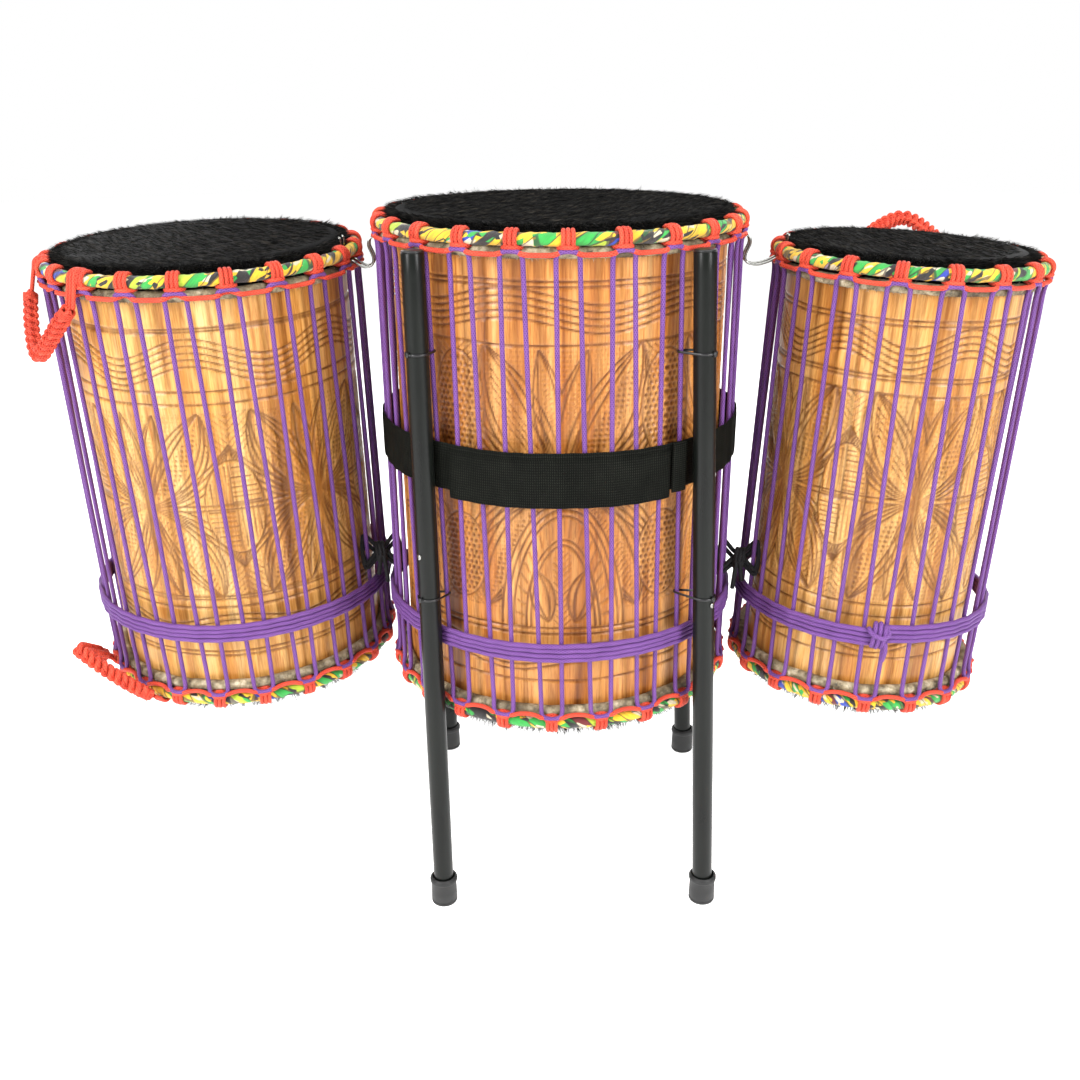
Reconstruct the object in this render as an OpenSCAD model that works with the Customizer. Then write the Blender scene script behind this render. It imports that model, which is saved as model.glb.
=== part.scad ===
// Three double-headed, rope-tuned dunun drums with one four-legged stand.
// The middle drum stands in the legs, and the two side drums hang from its crown ring on S-hooks.
// Frame: Z up, floor at z = 0, X across the set, -Y to the front.
// Angles round a drum are counted from its front (-Y), positive towards +X.

/* [Centre drum] */
// Height of the upper head above the floor
centre_top_z = 748; // [740:1:760]
// Outside diameter of the wooden shell
centre_shell_d = 348; // [344:1:350]
// Distance between the two heads
centre_h = 512; // [500:1:520]
// Number of cord hitches round each ring
centre_hitches = 23; // [21:1:24]

/* [Left drum] */
// Outside diameter of the wooden shell
left_shell_d = 296; // [290:1:298]
// Distance between the two heads
left_h = 476; // [460:1:480]
// Number of cord hitches round each ring
left_hitches = 21; // [19:1:22]
// Place of the drum's middle, from the centre drum's axis and the floor
left_place = [-374, 19, 474.5];
// How far the top leans outwards, in degrees
left_lean_out = 1; // [0:0.1:2]
// How far the top leans to the front, in degrees
left_lean_front = 2.4; // [0:0.1:3]

/* [Right drum] */
// Outside diameter of the wooden shell
right_shell_d = 242; // [236:1:244]
// Distance between the two heads
right_h = 476; // [460:1:480]
// Number of cord hitches round each ring
right_hitches = 17; // [15:1:18]
// Place of the drum's middle, from the centre drum's axis and the floor
right_place = [352, -3, 470.5];
// How far the top leans outwards, in degrees
right_lean_out = 2.7; // [2:0.1:3]

/* [Shells and heads] */
// Thickness of the wooden shell
wall = 18; // [12:1:24]
// Radius of the rounded bearing edge
edge_r = 8; // [5:1:10]
// Thickness of the hide
skin_t = 3; // [2:0.5:3]
// Diameter of the steel flesh hoop inside the hide's rolled edge
hoop_d = 6.4; // [5:0.2:7]
// Diameter of the hide rolled round the flesh hoop
roll_d = 11; // [10:0.5:11]

/* [Rings and cords] */
// Diameter of the crown ring's steel rod
ring_d = 9; // [8:0.5:10]
// Diameter of the crown ring with its cloth wrapping
ring_wrap_d = 13; // [12:0.5:13]
// Diameter of the tuning rope
rope_d = 5; // [4:0.2:5]
// Diameter of the hitch and running cords
cord_d = 4.8; // [4:0.2:5]
// Part of a hitch's pitch that lies between its two ropes
pair_share = 0.42; // [0.3:0.01:0.5]
// Height of the tension wraps' middle above the lower head
wrap_z = 95; // [80:1:120]
// Number of turns in the tension wraps
wrap_turns = 4; // [2:1:5]

/* [Stand] */
// Outside diameter of a leg tube
leg_d = 22; // [20:1:22]
// Wall of a leg tube
leg_wall = 1.5; // [1:0.1:2]
// Height of the top of a leg
leg_top_z = 724; // [700:1:726]
// Diameter of a rubber foot
foot_d = 29; // [26:1:30]
// Height of a rubber foot
foot_h = 34; // [28:1:40]
// Height of the strap's middle
strap_z = 518; // [480:1:540]
// Width of the strap
strap_w = 48; // [40:1:50]
// Thickness of the strap's webbing
strap_t = 1.6; // [1:0.1:1.8]

/* [Hooks and ties] */
// Diameter of the S-hooks' wire
hook_d = 4.4; // [4:0.1:4.5]
// Diameter of the elastic cords that tie the drums together below
bungee_d = 5; // [4:0.5:6]

/* [Handles] */
// Thickness of a handle's braid
braid_d = 15; // [12:1:16]

/* [Hidden] */
$fn = 48;

// Distance from the middle of the whole set to the centre drum's axis.
shift_x = 21;

// Ring and cord stations, measured outwards from the shell and down from the head.
head_drop = 9.5;
ring_out = 10.5;
roll_out = 6;
rope_out = 14.2;
rope_drop = 17.5;
cord_out = 14;
cord_drop = 32.5;
low_cord_drop = 26;
fit_gap = 0.05;

// A drum is [shell radius, height, hitches, angle of one upper hitch, twist of the lower hitches,
// drop of the rolled hide below the head]. The side drums' rolls are lower, to clear the hooks.
CENTRE = [centre_shell_d / 2, centre_h, centre_hitches, 3.2, 3, 21.8];
LEFT = [left_shell_d / 2, left_h, left_hitches, 23.6, 2, 24.5];
RIGHT = [right_shell_d / 2, right_h, right_hitches, -17.8, 2, 24.5];
function shell_r(d) = d[0];
function half_h(d) = d[1] / 2;
function roll_drop(d) = d[5];
function pitch(d) = 360 / d[2];

// Places of the feet and of the leg tops, from the centre drum's axis.
FOOT_FRONT_LEFT = [-129, -165];
FOOT_FRONT_RIGHT = [165, -156];
FOOT_REAR_LEFT = [-157, 163];
FOOT_REAR_RIGHT = [170, 161];
TOP_FRONT_LEFT = [-133, -153.5];
TOP_FRONT_RIGHT = [136, -151];
TOP_REAR_LEFT = [-138, 149];
TOP_REAR_RIGHT = [138, 149];
LEGS = [
  [FOOT_FRONT_LEFT, TOP_FRONT_LEFT], [FOOT_FRONT_RIGHT, TOP_FRONT_RIGHT],
  [FOOT_REAR_LEFT, TOP_REAR_LEFT], [FOOT_REAR_RIGHT, TOP_REAR_RIGHT]
];
foot_sole_t = 6;
// Room round a leg in its foot, which takes up the leg's splay.
foot_slack = 1;
tie_heights = [378, 630];
tie_d = 1.6;
// Room between a tie and the leg or rope that it goes round.
tie_gap = 0.5;
screw_heights = [425, 371];
screw_d = 3.6;

// ---- functions ----

// Point on a circle round a drum's axis, at an angle from the front.
function round_drum(r, a, z) = [r * sin(a), -r * cos(a), z];
function lerp(a, b, t) = a + (b - a) * t;
function unit(v) = v / norm(v);
function rope_r(d) = shell_r(d) + rope_out;
// Upper and lower hitch angles, and the angles at which the rope leaves them.
function top_hitch(d, i) = d[3] + i * pitch(d);
function bottom_hitch(d, i) = top_hitch(d, i) + pitch(d) / 2 + d[4];
function half_pair(d) = pitch(d) * pair_share / 2;
// One run of rope down from hitch i. side is -1 for its left run and 1 for its right run.
function rope_top(d, i, side) =
  round_drum(rope_r(d), top_hitch(d, i) + side * half_pair(d), half_h(d) - rope_drop);
function rope_bottom(d, i, side) =
  round_drum(rope_r(d), bottom_hitch(d, i + (side < 0 ? -1 : 0)) - side * half_pair(d),
             rope_drop - half_h(d));
// Point of a run at height z, in the drum's own frame.
function rope_at(d, i, side, z) =
  let (a = rope_top(d, i, side), b = rope_bottom(d, i, side))
  lerp(a, b, (a[2] - z) / (a[2] - b[2]));
// A leg's axis at height z.
function leg_at(leg, z) =
  let (p = lerp(LEGS[leg][0], LEGS[leg][1], z / leg_top_z)) [p[0], p[1], z];
// Outline round two discs, as a belt runs round two pulleys.
function belt(a, ra, b, rb, z, steps = 12) =
  let (d = norm(b - a), dir = atan2(b[1] - a[1], b[0] - a[0]), lap = acos((ra - rb) / d))
  [for (k = [0:steps]) let (t = lerp(lap, 360 - lap, k / steps))
     [a[0] + ra * cos(dir + t), a[1] + ra * sin(dir + t), z],
   for (k = [0:steps]) let (t = lerp(-lap, lap, k / steps))
     [b[0] + rb * cos(dir + t), b[1] + rb * sin(dir + t), z]];
// Smooth curve through hand-placed points (Catmull-Rom), for hooks and handles.
function curve_point(p, i, t) =
  let (n = len(p), a = p[max(i - 1, 0)], b = p[i], c = p[min(i + 1, n - 1)],
       e = p[min(i + 2, n - 1)])
  0.5 * (2 * b + (c - a) * t + (2 * a - 5 * b + 4 * c - e) * t * t
         + (3 * b - a - 3 * c + e) * t * t * t);
function smooth(p, steps) =
  [for (i = [0:len(p) - 2]) for (k = [0:steps - 1]) curve_point(p, i, k / steps), p[len(p) - 1]];

// ---- shapes ----

// Round tube swept along points. up is any direction that the path never runs along.
module tube(points, r, up = [0, 1, 0], sides = 10, closed = false) {
  n = len(points);
  function next(i) = closed ? (i + 1) % n : min(i + 1, n - 1);
  function prev(i) = closed ? (i + n - 1) % n : max(i - 1, 0);
  rings = [for (i = [0:n - 1])
    let (t = unit(points[next(i)] - points[prev(i)]), u = unit(cross(t, up)), v = cross(u, t))
    for (k = [0:sides - 1])
      points[i] + r * (cos(360 * k / sides) * u + sin(360 * k / sides) * v)];
  last = closed ? n - 1 : n - 2;
  walls = [for (i = [0:last]) for (k = [0:sides - 1])
    let (a = i * sides, b = ((i + 1) % n) * sides, k2 = (k + 1) % sides)
      [a + k, a + k2, b + k2, b + k]];
  ends = closed ? [] : [[for (k = [sides - 1:-1:0]) k],
                        [for (k = [0:sides - 1]) (n - 1) * sides + k]];
  polyhedron(rings, concat(walls, ends), convexity = 6);
}

module torus(big_r, small_r, z) {
  translate([0, 0, z]) rotate_extrude($fn = 96) translate([big_r, 0]) circle(small_r);
}

module between(a, b, r) {
  d = b - a;
  translate(a) rotate([0, acos(d[2] / norm(d)), atan2(d[1], d[0])]) cylinder(r = r, h = norm(d));
}

// ---- places ----

module at_centre() {
  translate([shift_x, 0, centre_top_z - centre_h / 2]) children();
}

module at_left() {
  translate([shift_x, 0, 0] + left_place)
    rotate([left_lean_front, -left_lean_out, 0]) children();
}

module at_right() {
  translate([shift_x, 0, 0] + right_place) rotate([0, right_lean_out, 0]) children();
}

module at_stand() {
  translate([shift_x, 0, 0]) children();
}

// end is 1 for the upper end and -1 for the lower end, built as the upper one and mirrored.
module at_end(end) {
  mirror([0, 0, end < 0 ? 1 : 0]) children();
}

// ---- one drum's pieces, about the drum's own middle ----

module shell(d) {
  r = shell_r(d);
  h = half_h(d) - skin_t;
  color("burlywood") rotate_extrude($fn = 96) union() {
    translate([r - wall, -h]) square([wall - edge_r, 2 * h]);
    translate([r - wall, edge_r - h]) square([wall, 2 * (h - edge_r)]);
    for (s = [-1, 1]) translate([r - edge_r, s * (h - edge_r)]) circle(edge_r);
  }
}

module head(d, end) {
  r = shell_r(d);
  top = half_h(d);
  corner = r - edge_r;
  color("black") at_end(end) rotate_extrude($fn = 96) difference() {
    union() {
      translate([0, top - skin_t]) square([corner, skin_t]);
      translate([corner, top - skin_t - edge_r]) intersection() {
        difference() {
          circle(edge_r + skin_t);
          circle(edge_r + fit_gap);
        }
        square(edge_r + skin_t);
      }
      translate([r + fit_gap, top - roll_drop(d)])
        square([skin_t - fit_gap, roll_drop(d) - edge_r - skin_t]);
      translate([r + roll_out, top - roll_drop(d)]) circle(d = roll_d);
    }
    translate([r + roll_out, top - roll_drop(d)]) circle(d = hoop_d + 2 * fit_gap);
  }
}

module flesh_hoop(d, end) {
  color("silver") at_end(end) torus(shell_r(d) + roll_out, hoop_d / 2, half_h(d) - roll_drop(d));
}

module crown_ring(d, end) {
  color("silver") at_end(end) torus(shell_r(d) + ring_out, ring_d / 2, half_h(d) - head_drop);
}

module ring_cloth(d, end) {
  color("gold") at_end(end) translate([0, 0, half_h(d) - head_drop]) rotate_extrude($fn = 96)
    translate([shell_r(d) + ring_out, 0]) difference() {
      circle(d = ring_wrap_d);
      circle(d = ring_d + 2 * fit_gap);
    }
}

// Cord hitches over the outside of a crown ring, and the running cord under them.
module lacing(d, end) {
  hitch_w = 10;
  hitch_t = 3;
  hitch_from = -60;
  hitch_sweep = 165;
  seat_r = ring_wrap_d / 2 + fit_gap;
  color("tomato") at_end(end) {
    for (i = [0:d[2] - 1])
      rotate([0, 0, end > 0 ? top_hitch(d, i) : bottom_hitch(d, i)])
        translate([0, -(shell_r(d) + ring_out), half_h(d) - head_drop])
          rotate([90, 0, -90]) rotate([0, 0, hitch_from]) translate([0, 0, -hitch_w / 2])
            rotate_extrude(angle = hitch_sweep) translate([seat_r, 0]) square([hitch_t, hitch_w]);
    torus(shell_r(d) + cord_out, cord_d / 2, half_h(d) - (end > 0 ? cord_drop : low_cord_drop));
  }
}

module tuning_rope(d) {
  color("mediumpurple")
    for (i = [0:d[2] - 1], side = [-1, 1])
      between(rope_top(d, i, side), rope_bottom(d, i, side), rope_d / 2);
}

module tension_wraps(d) {
  r = rope_r(d) + rope_d - 0.6;
  first = -half_h(d) + wrap_z - (wrap_turns - 1) * rope_d / 2;
  color("mediumpurple") rotate_extrude($fn = 96)
    for (k = [0:wrap_turns - 1]) translate([r, first + k * rope_d]) circle(rope_d / 2 + 0.1);
}

// ---- stand ----

module leg_tube(leg) {
  bottom = leg_at(leg, foot_sole_t + 0.7);
  top = leg_at(leg, leg_top_z);
  color("dimgray") difference() {
    between(bottom, top, leg_d / 2);
    between(leg_at(leg, 0), leg_at(leg, leg_top_z + 5), leg_d / 2 - leg_wall);
    if (leg < len(screw_heights)) screw_shank(leg, screw_d / 2 + fit_gap);
  }
}

// A rubber cup with an upright bore, loose enough for the leg's small splay.
module foot(leg) {
  lip_h = 4;
  lip_t = 0.8;
  lip_z = foot_h - lip_h - 2;
  bore_r = leg_d / 2 + foot_slack;
  seat = leg_at(leg, (foot_sole_t + foot_h) / 2);
  color("black") translate([seat[0], seat[1], 0]) rotate_extrude()
    polygon([[0, 0], [foot_d / 2, 0], [foot_d / 2, lip_z], [foot_d / 2 + lip_t, lip_z],
             [foot_d / 2 + lip_t, lip_z + lip_h], [foot_d / 2, lip_z + lip_h], [foot_d / 2, foot_h],
             [bore_r, foot_h], [bore_r, foot_sole_t], [0, foot_sole_t]]);
}

module top_plug(leg) {
  color("black") {
    between(leg_at(leg, leg_top_z), leg_at(leg, leg_top_z + 2), leg_d / 2 - 0.5);
    between(leg_at(leg, leg_top_z - 12), leg_at(leg, leg_top_z + 1), leg_d / 2 - leg_wall - fit_gap);
  }
}

// A screw through the outer wall of a front leg, and the round line that it and its hole follow.
module screw_shank(leg, r) {
  p = leg_at(leg, screw_heights[leg]);
  out = unit([p[0], p[1], 0]);
  between(p + out * (leg_d / 2 - leg_wall - 2), p + out * (leg_d / 2 + 0.8), r);
}

module leg_screw(leg) {
  color("silver") screw_shank(leg, screw_d / 2);
}

// Angle of a rope run at height z, and how far round it is from a leg.
function run_angle(i, side, z) =
  let (p = rope_at(CENTRE, i, side, z - (centre_top_z - centre_h / 2))) atan2(p[0], -p[1]);
function gap_to(leg, i, side, z) =
  let (q = leg_at(leg, z), d = run_angle(i, side, z) - atan2(q[0], -q[1]))
  abs((d + 540) % 360 - 180);
// The hitch and side of the rope run nearest to a leg.
function nearest(leg, z) =
  let (g = [for (i = [0:centre_hitches - 1]) for (s = [-1, 1]) [gap_to(leg, i, s, z), i, s]],
       m = min([for (e = g) e[0]]))
  [for (e = g) if (e[0] == m) e][0];

module leg_tie(leg, z) {
  run = nearest(leg, z);
  p = rope_at(CENTRE, run[1], run[2], z - (centre_top_z - centre_h / 2));
  q = leg_at(leg, z);
  color("black") tube(belt([q[0], q[1]], leg_d / 2 + tie_d / 2 + tie_gap,
                           [p[0], p[1]], rope_d / 2 + tie_d / 2 + tie_gap, z, 8),
                      tie_d / 2, up = [0, 0, 1], sides = 8, closed = true);
}

// Webbing round the centre drum's ropes, inside the legs, doubled between the front legs.
strap_in_r = CENTRE[0] + rope_out + rope_d / 2 + 0.3;
overlap_from = -33;
overlap_to = 35;
module strap() {
  color("black") translate([0, 0, strap_z - strap_w / 2]) {
    difference() {
      cylinder(r = strap_in_r + strap_t, h = strap_w, $fn = 96);
      translate([0, 0, -1]) cylinder(r = strap_in_r, h = strap_w + 2, $fn = 96);
    }
    translate([0, 0, -7]) rotate([0, 0, overlap_from - 90])
      rotate_extrude(angle = overlap_to - overlap_from, $fn = 96)
        translate([strap_in_r + strap_t - fit_gap, 0]) square([strap_t, strap_w]);
  }
}

// Folded end of the webbing, stitched into a flat loop beside the right front leg.
module strap_keeper() {
  keeper_w = 16;
  keeper_t = 4;
  color("black") rotate([0, 0, 37.5]) translate([-keeper_w / 2, -(strap_in_r + strap_t + keeper_t + 0.2),
    strap_z - strap_w / 2 - 2]) cube([keeper_w, keeper_t - 1, strap_w + 3]);
}

// ---- S-hooks ----

// Axis on which each side drum swings: the centre drum's upper running cord.
swing_r = CENTRE[0] + cord_out;
swing_z = centre_top_z - cord_drop;
seat_gap = 0.8;
ring_gap = 0.8;
LEFT_HOOK_Y = [-14, -2];
RIGHT_HOOK_Y = [-6, 6];

// Point of a tilted side drum in the set's frame, for rotate([a, b, 0]) then translate(place).
function tilted(p, a, b, place) =
  let (y = p[1] * cos(a) - p[2] * sin(a), z = p[1] * sin(a) + p[2] * cos(a))
  place + [p[0] * cos(b) + z * sin(b), y, z * cos(b) - p[0] * sin(b)];
// Middle of a side drum's upper ring where the plane of a hook at y cuts it, on the inner side.
function ring_near(d, y, side, a, b, place) =
  let (z = half_h(d) - head_drop, across = (y - place[1] + z * sin(a)) / cos(a),
       r = shell_r(d) + ring_out)
  tilted([-side * sqrt(r * r - across * across), across, z], a, b, place);

// S-hook in the XZ plane for a side ring whose near point is at ring_x, ring_z. side is 1 or -1.
function hook_path(seat_x, ring_x, ring_z, side) =
  let (seat_r = (cord_d + hook_d) / 2 + seat_gap,
       seat = [for (a = [170:-22:60]) [seat_x + seat_r * cos(a), swing_z + seat_r * sin(a)]],
       under = (ring_wrap_d + hook_d) / 2 + ring_gap,
       far = [for (a = [235:18:307]) [ring_x + under * cos(a), ring_z + under * sin(a)]],
       bulge = [[seat_x + 9.6, swing_z + 5], [seat_x + 13, swing_z - 3], [seat_x + 10, swing_z - 11]],
       belly = [[lerp(seat_x + 10, far[0][0], 0.12), ring_z - 4],
                [lerp(seat_x + 10, far[0][0], 0.45), ring_z - 10.5]])
  [for (p = concat(seat, bulge, belly, far)) [side * p[0], 0, p[1]]];

module hooks(d, ys, side, a, b, place) {
  color("silver") for (y = ys) {
    ring = ring_near(d, y, side, a, b, place);
    seat_x = sqrt(swing_r * swing_r - y * y);
    translate([0, y, 0])
      tube(smooth(hook_path(seat_x, side * ring[0], ring[2], side), 3), hook_d / 2, sides = 10);
  }
}

// ---- elastic ties between the drums ----

bungee_z = 372;
function flat(p) = [p[0], p[1]];
centre_bungee_right = flat(rope_at(CENTRE, 5, -1, bungee_z - centre_top_z + centre_h / 2));
centre_bungee_left = flat(rope_at(CENTRE, -6, 1, bungee_z - centre_top_z + centre_h / 2));
right_bungee_end = flat(tilted(rope_at(RIGHT, -3, 1, bungee_z - right_place[2]),
                               0, right_lean_out, right_place));
left_bungee_end = flat(tilted(rope_at(LEFT, 3, 1, bungee_z - left_place[2]),
                              left_lean_front, -left_lean_out, left_place));

// Loop of elastic cord round one rope of the centre drum and one of a side drum, with its knot.
module bungee(a, b, z) {
  grip = rope_d / 2 + bungee_d / 2 + 1.2;
  mid = (a + b) / 2;
  knot_r = 6;
  color("black") {
    tube(belt(a, grip, b, grip, z, 8), bungee_d / 2, up = [0, 0, 1], sides = 8, closed = true);
    translate([mid[0], mid[1] - grip - bungee_d / 2 - knot_r - 0.3, z]) sphere(knot_r, $fn = 24);
  }
}

// ---- handles ----

// A macrame loop whose ends meet a ring of radius r at height z and angles a0 and a1.
// It reaches out and rises between them; rise is negative for a loop that hangs.
function loop_path(r, z, a0, a1, out, rise) =
  [for (k = [0:8]) let (t = k / 8, s = sin(180 * t), a = lerp(a0, a1, lerp(t, 0.5, 0.3 * s)))
     round_drum(r + out * s, a, z + rise * s)];

module handle(r, z, a0, a1, out, rise) {
  across = unit(round_drum(-rise, (a0 + a1) / 2, out));
  color("tomato") tube(smooth(loop_path(r, z, a0, a1, out, rise), 3), braid_d / 2,
                       up = across, sides = 12);
}

handle_out = 28.5;
module top_handle() {
  handle(LEFT[0] + handle_out, half_h(LEFT) - cord_drop - 2, -66, -30, 12, -50);
}

module bottom_handle() {
  handle(LEFT[0] + handle_out, -half_h(LEFT) + head_drop, -70, -24, 34, 64);
}

module back_handle() {
  handle(RIGHT[0] + handle_out, half_h(RIGHT) - head_drop, 152, 184, 26, 20);
}

// ---- nodes ----

at_centre() shell(CENTRE);  // centre_shell
at_centre() head(CENTRE, 1);  // centre_top_head
at_centre() head(CENTRE, -1);  // centre_bottom_head
at_centre() flesh_hoop(CENTRE, 1);  // centre_top_flesh_hoop
at_centre() flesh_hoop(CENTRE, -1);  // centre_bottom_flesh_hoop
at_centre() crown_ring(CENTRE, 1);  // centre_top_crown_ring
at_centre() crown_ring(CENTRE, -1);  // centre_bottom_crown_ring
at_centre() ring_cloth(CENTRE, 1);  // centre_top_ring_cloth
at_centre() ring_cloth(CENTRE, -1);  // centre_bottom_ring_cloth
at_centre() lacing(CENTRE, 1);  // centre_top_lacing
at_centre() lacing(CENTRE, -1);  // centre_bottom_lacing
at_centre() tuning_rope(CENTRE);  // centre_tuning_rope
at_centre() tension_wraps(CENTRE);  // centre_tension_wraps
at_left() shell(LEFT);  // left_shell
at_left() head(LEFT, 1);  // left_top_head
at_left() head(LEFT, -1);  // left_bottom_head
at_left() flesh_hoop(LEFT, 1);  // left_top_flesh_hoop
at_left() flesh_hoop(LEFT, -1);  // left_bottom_flesh_hoop
at_left() crown_ring(LEFT, 1);  // left_top_crown_ring
at_left() crown_ring(LEFT, -1);  // left_bottom_crown_ring
at_left() ring_cloth(LEFT, 1);  // left_top_ring_cloth
at_left() ring_cloth(LEFT, -1);  // left_bottom_ring_cloth
at_left() lacing(LEFT, 1);  // left_top_lacing
at_left() lacing(LEFT, -1);  // left_bottom_lacing
at_left() tuning_rope(LEFT);  // left_tuning_rope
at_left() tension_wraps(LEFT);  // left_tension_wraps
at_right() shell(RIGHT);  // right_shell
at_right() head(RIGHT, 1);  // right_top_head
at_right() head(RIGHT, -1);  // right_bottom_head
at_right() flesh_hoop(RIGHT, 1);  // right_top_flesh_hoop
at_right() flesh_hoop(RIGHT, -1);  // right_bottom_flesh_hoop
at_right() crown_ring(RIGHT, 1);  // right_top_crown_ring
at_right() crown_ring(RIGHT, -1);  // right_bottom_crown_ring
at_right() ring_cloth(RIGHT, 1);  // right_top_ring_cloth
at_right() ring_cloth(RIGHT, -1);  // right_bottom_ring_cloth
at_right() lacing(RIGHT, 1);  // right_top_lacing
at_right() lacing(RIGHT, -1);  // right_bottom_lacing
at_right() tuning_rope(RIGHT);  // right_tuning_rope
at_right() tension_wraps(RIGHT);  // right_tension_wraps
at_stand() leg_tube(0);  // leg_front_left
at_stand() leg_tube(1);  // leg_front_right
at_stand() leg_tube(2);  // leg_rear_left
at_stand() leg_tube(3);  // leg_rear_right
at_stand() foot(0);  // foot_front_left
at_stand() foot(1);  // foot_front_right
at_stand() foot(2);  // foot_rear_left
at_stand() foot(3);  // foot_rear_right
at_stand() for (leg = [0:3]) top_plug(leg);  // leg_top_plugs
at_stand() for (leg = [0:1]) leg_screw(leg);  // leg_screws
at_stand() for (leg = [0:3], z = tie_heights) leg_tie(leg, z);  // leg_ties
at_stand() strap();
at_stand() strap_keeper();
at_stand() hooks(LEFT, LEFT_HOOK_Y, -1, left_lean_front, -left_lean_out, left_place);  // left_hooks
at_stand() hooks(RIGHT, RIGHT_HOOK_Y, 1, 0, right_lean_out, right_place);  // right_hooks
at_stand() bungee(centre_bungee_left, left_bungee_end, bungee_z);  // left_bungee
at_stand() bungee(centre_bungee_right, right_bungee_end, bungee_z);  // right_bungee
at_left() top_handle();  // left_top_handle
at_left() bottom_handle();  // left_bottom_handle
at_right() back_handle();  // right_top_handle
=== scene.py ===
"""A set of three rope-tuned drums on a four-legged stand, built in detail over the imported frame."""

import math

import bpy
import numpy as np
from mathutils import Matrix, Vector


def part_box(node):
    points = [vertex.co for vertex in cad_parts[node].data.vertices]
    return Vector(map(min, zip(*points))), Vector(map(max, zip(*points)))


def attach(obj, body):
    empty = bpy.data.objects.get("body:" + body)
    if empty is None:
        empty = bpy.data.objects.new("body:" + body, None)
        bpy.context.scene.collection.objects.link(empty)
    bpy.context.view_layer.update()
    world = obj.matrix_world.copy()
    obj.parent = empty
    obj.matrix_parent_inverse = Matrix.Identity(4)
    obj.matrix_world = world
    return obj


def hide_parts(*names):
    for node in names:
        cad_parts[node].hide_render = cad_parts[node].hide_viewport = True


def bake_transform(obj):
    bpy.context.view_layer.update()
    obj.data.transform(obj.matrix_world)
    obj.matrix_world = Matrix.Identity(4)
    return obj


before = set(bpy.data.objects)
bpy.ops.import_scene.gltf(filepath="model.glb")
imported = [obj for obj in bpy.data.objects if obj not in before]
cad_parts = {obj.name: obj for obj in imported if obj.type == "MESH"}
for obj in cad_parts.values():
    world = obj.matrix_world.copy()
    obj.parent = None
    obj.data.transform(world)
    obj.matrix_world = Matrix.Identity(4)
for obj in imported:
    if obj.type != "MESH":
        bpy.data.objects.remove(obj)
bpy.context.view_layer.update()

MM = 0.001

# ---- sizes, in millimetres, as the frame has them ----

SKIN = 3.0  # hide over the rim
RIM = 8.0  # rounding of the shell's rim
PILE = 3.6  # thickness of the hair on the head
WALL = 18.0  # shell
RING_OUT, RING_DROP, RING_WRAP = 10.5, 9.5, 6.5  # crown ring: place outwards and down, wrapped radius
ROLL_OUT, ROLL_R = 6.0, 5.5  # hide rolled round the flesh hoop
ROPE_OUT, ROPE_DROP, ROPE_R = 14.2, 17.5, 2.5  # tuning rope
CORD_OUT, CORD_DROP, CORD_R = 14.0, 32.5, 2.4  # running cord, at the S-hooks
TIGHT = {"centre": 24.6, "left": 27.2, "right": 23.4}  # its drop where nothing pulls on it
LOW_TIGHT = 22.4  # the same for the lower running cords
CENTRE_R, LEFT_R, RIGHT_R = 174, 148, 121  # shells
CARVE_GRID, CARVE_DEPTH = 1.5, 2.2
KEEPER_AT, KEEPER_HALF = 37.5, 2.4  # degrees
HEAD_HAIRS, FRINGE_HAIRS, ROLL_HAIRS = {1: 26000, -1: 3000}, {1: 17000, -1: 6500}, 4200  # centre drum
STUDIO_R = 9.0  # metres
PAIR_SHARE = 0.42  # part of a hitch's pitch between its two ropes
WRAP_Z, WRAP_TURNS = 95.0, 4  # tension wraps' height above the lower head
LEG_R, LEG_TOP, FOOT_H, SOLE = 11.0, 724.0, 34.0, 6.0
STRAP_Z, STRAP_W, STRAP_T = 518.0, 48.0, 1.6
HOOK_R = 2.2
BUNGEE_R, BUNGEE_Z = 2.5, 372.0


# ---- small helpers ----

def lerp(a, b, t):
    return a + (b - a) * t


def smoothstep(x):
    x = np.clip(x, 0, 1)
    return x * x * (3 - 2 * x)


def stacked(x, y, z):
    return np.stack(np.broadcast_arrays(x, y, z), -1)


def polar(radius, angle, z):
    """Points round an axis, with the angle in degrees from the front, -Y, towards +X."""
    a = np.radians(angle)
    return stacked(radius * np.sin(a), -radius * np.cos(a), z).astype(float)


def unit(v):
    return v / np.linalg.norm(v, axis=-1, keepdims=True)


def distances(path):
    """The length along a path to each of its points."""
    return np.concatenate([[0], np.cumsum(np.linalg.norm(np.diff(path, axis=0), axis=1))])


def smooth_path(points, step):
    """A Catmull-Rom curve through the points, with rings about step apart."""
    p = np.asarray(points, float)
    ends = np.vstack([2 * p[0] - p[1], p, 2 * p[-1] - p[-2]])
    out = []
    for i in range(1, len(ends) - 2):
        a, b, c, d = ends[i - 1:i + 3]
        n = max(2, int(np.linalg.norm(c - b) / step))
        t = (np.arange(n) / n)[:, None]
        out.append(0.5 * (2 * b + (c - a) * t + (2 * a - 5 * b + 4 * c - d) * t ** 2
                          + (3 * b - a - 3 * c + d) * t ** 3))
    return np.vstack(out + [p[-1:]])


def frames_along(path, up=None):
    """Tangents and two cross directions that turn as little as they can along a path."""
    tangent = unit(np.gradient(path, axis=0))
    side = np.zeros_like(path)
    start = np.array(up if up is not None else (0, 0, 1) if abs(tangent[0][2]) < 0.9 else (0, 1, 0), float)
    side[0] = unit(start - tangent[0] * (start @ tangent[0]))
    for i in range(1, len(path)):
        v = side[i - 1] - tangent[i] * (side[i - 1] @ tangent[i])
        side[i] = v / math.sqrt(v @ v)
    return tangent, side, np.cross(tangent, side)


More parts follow.
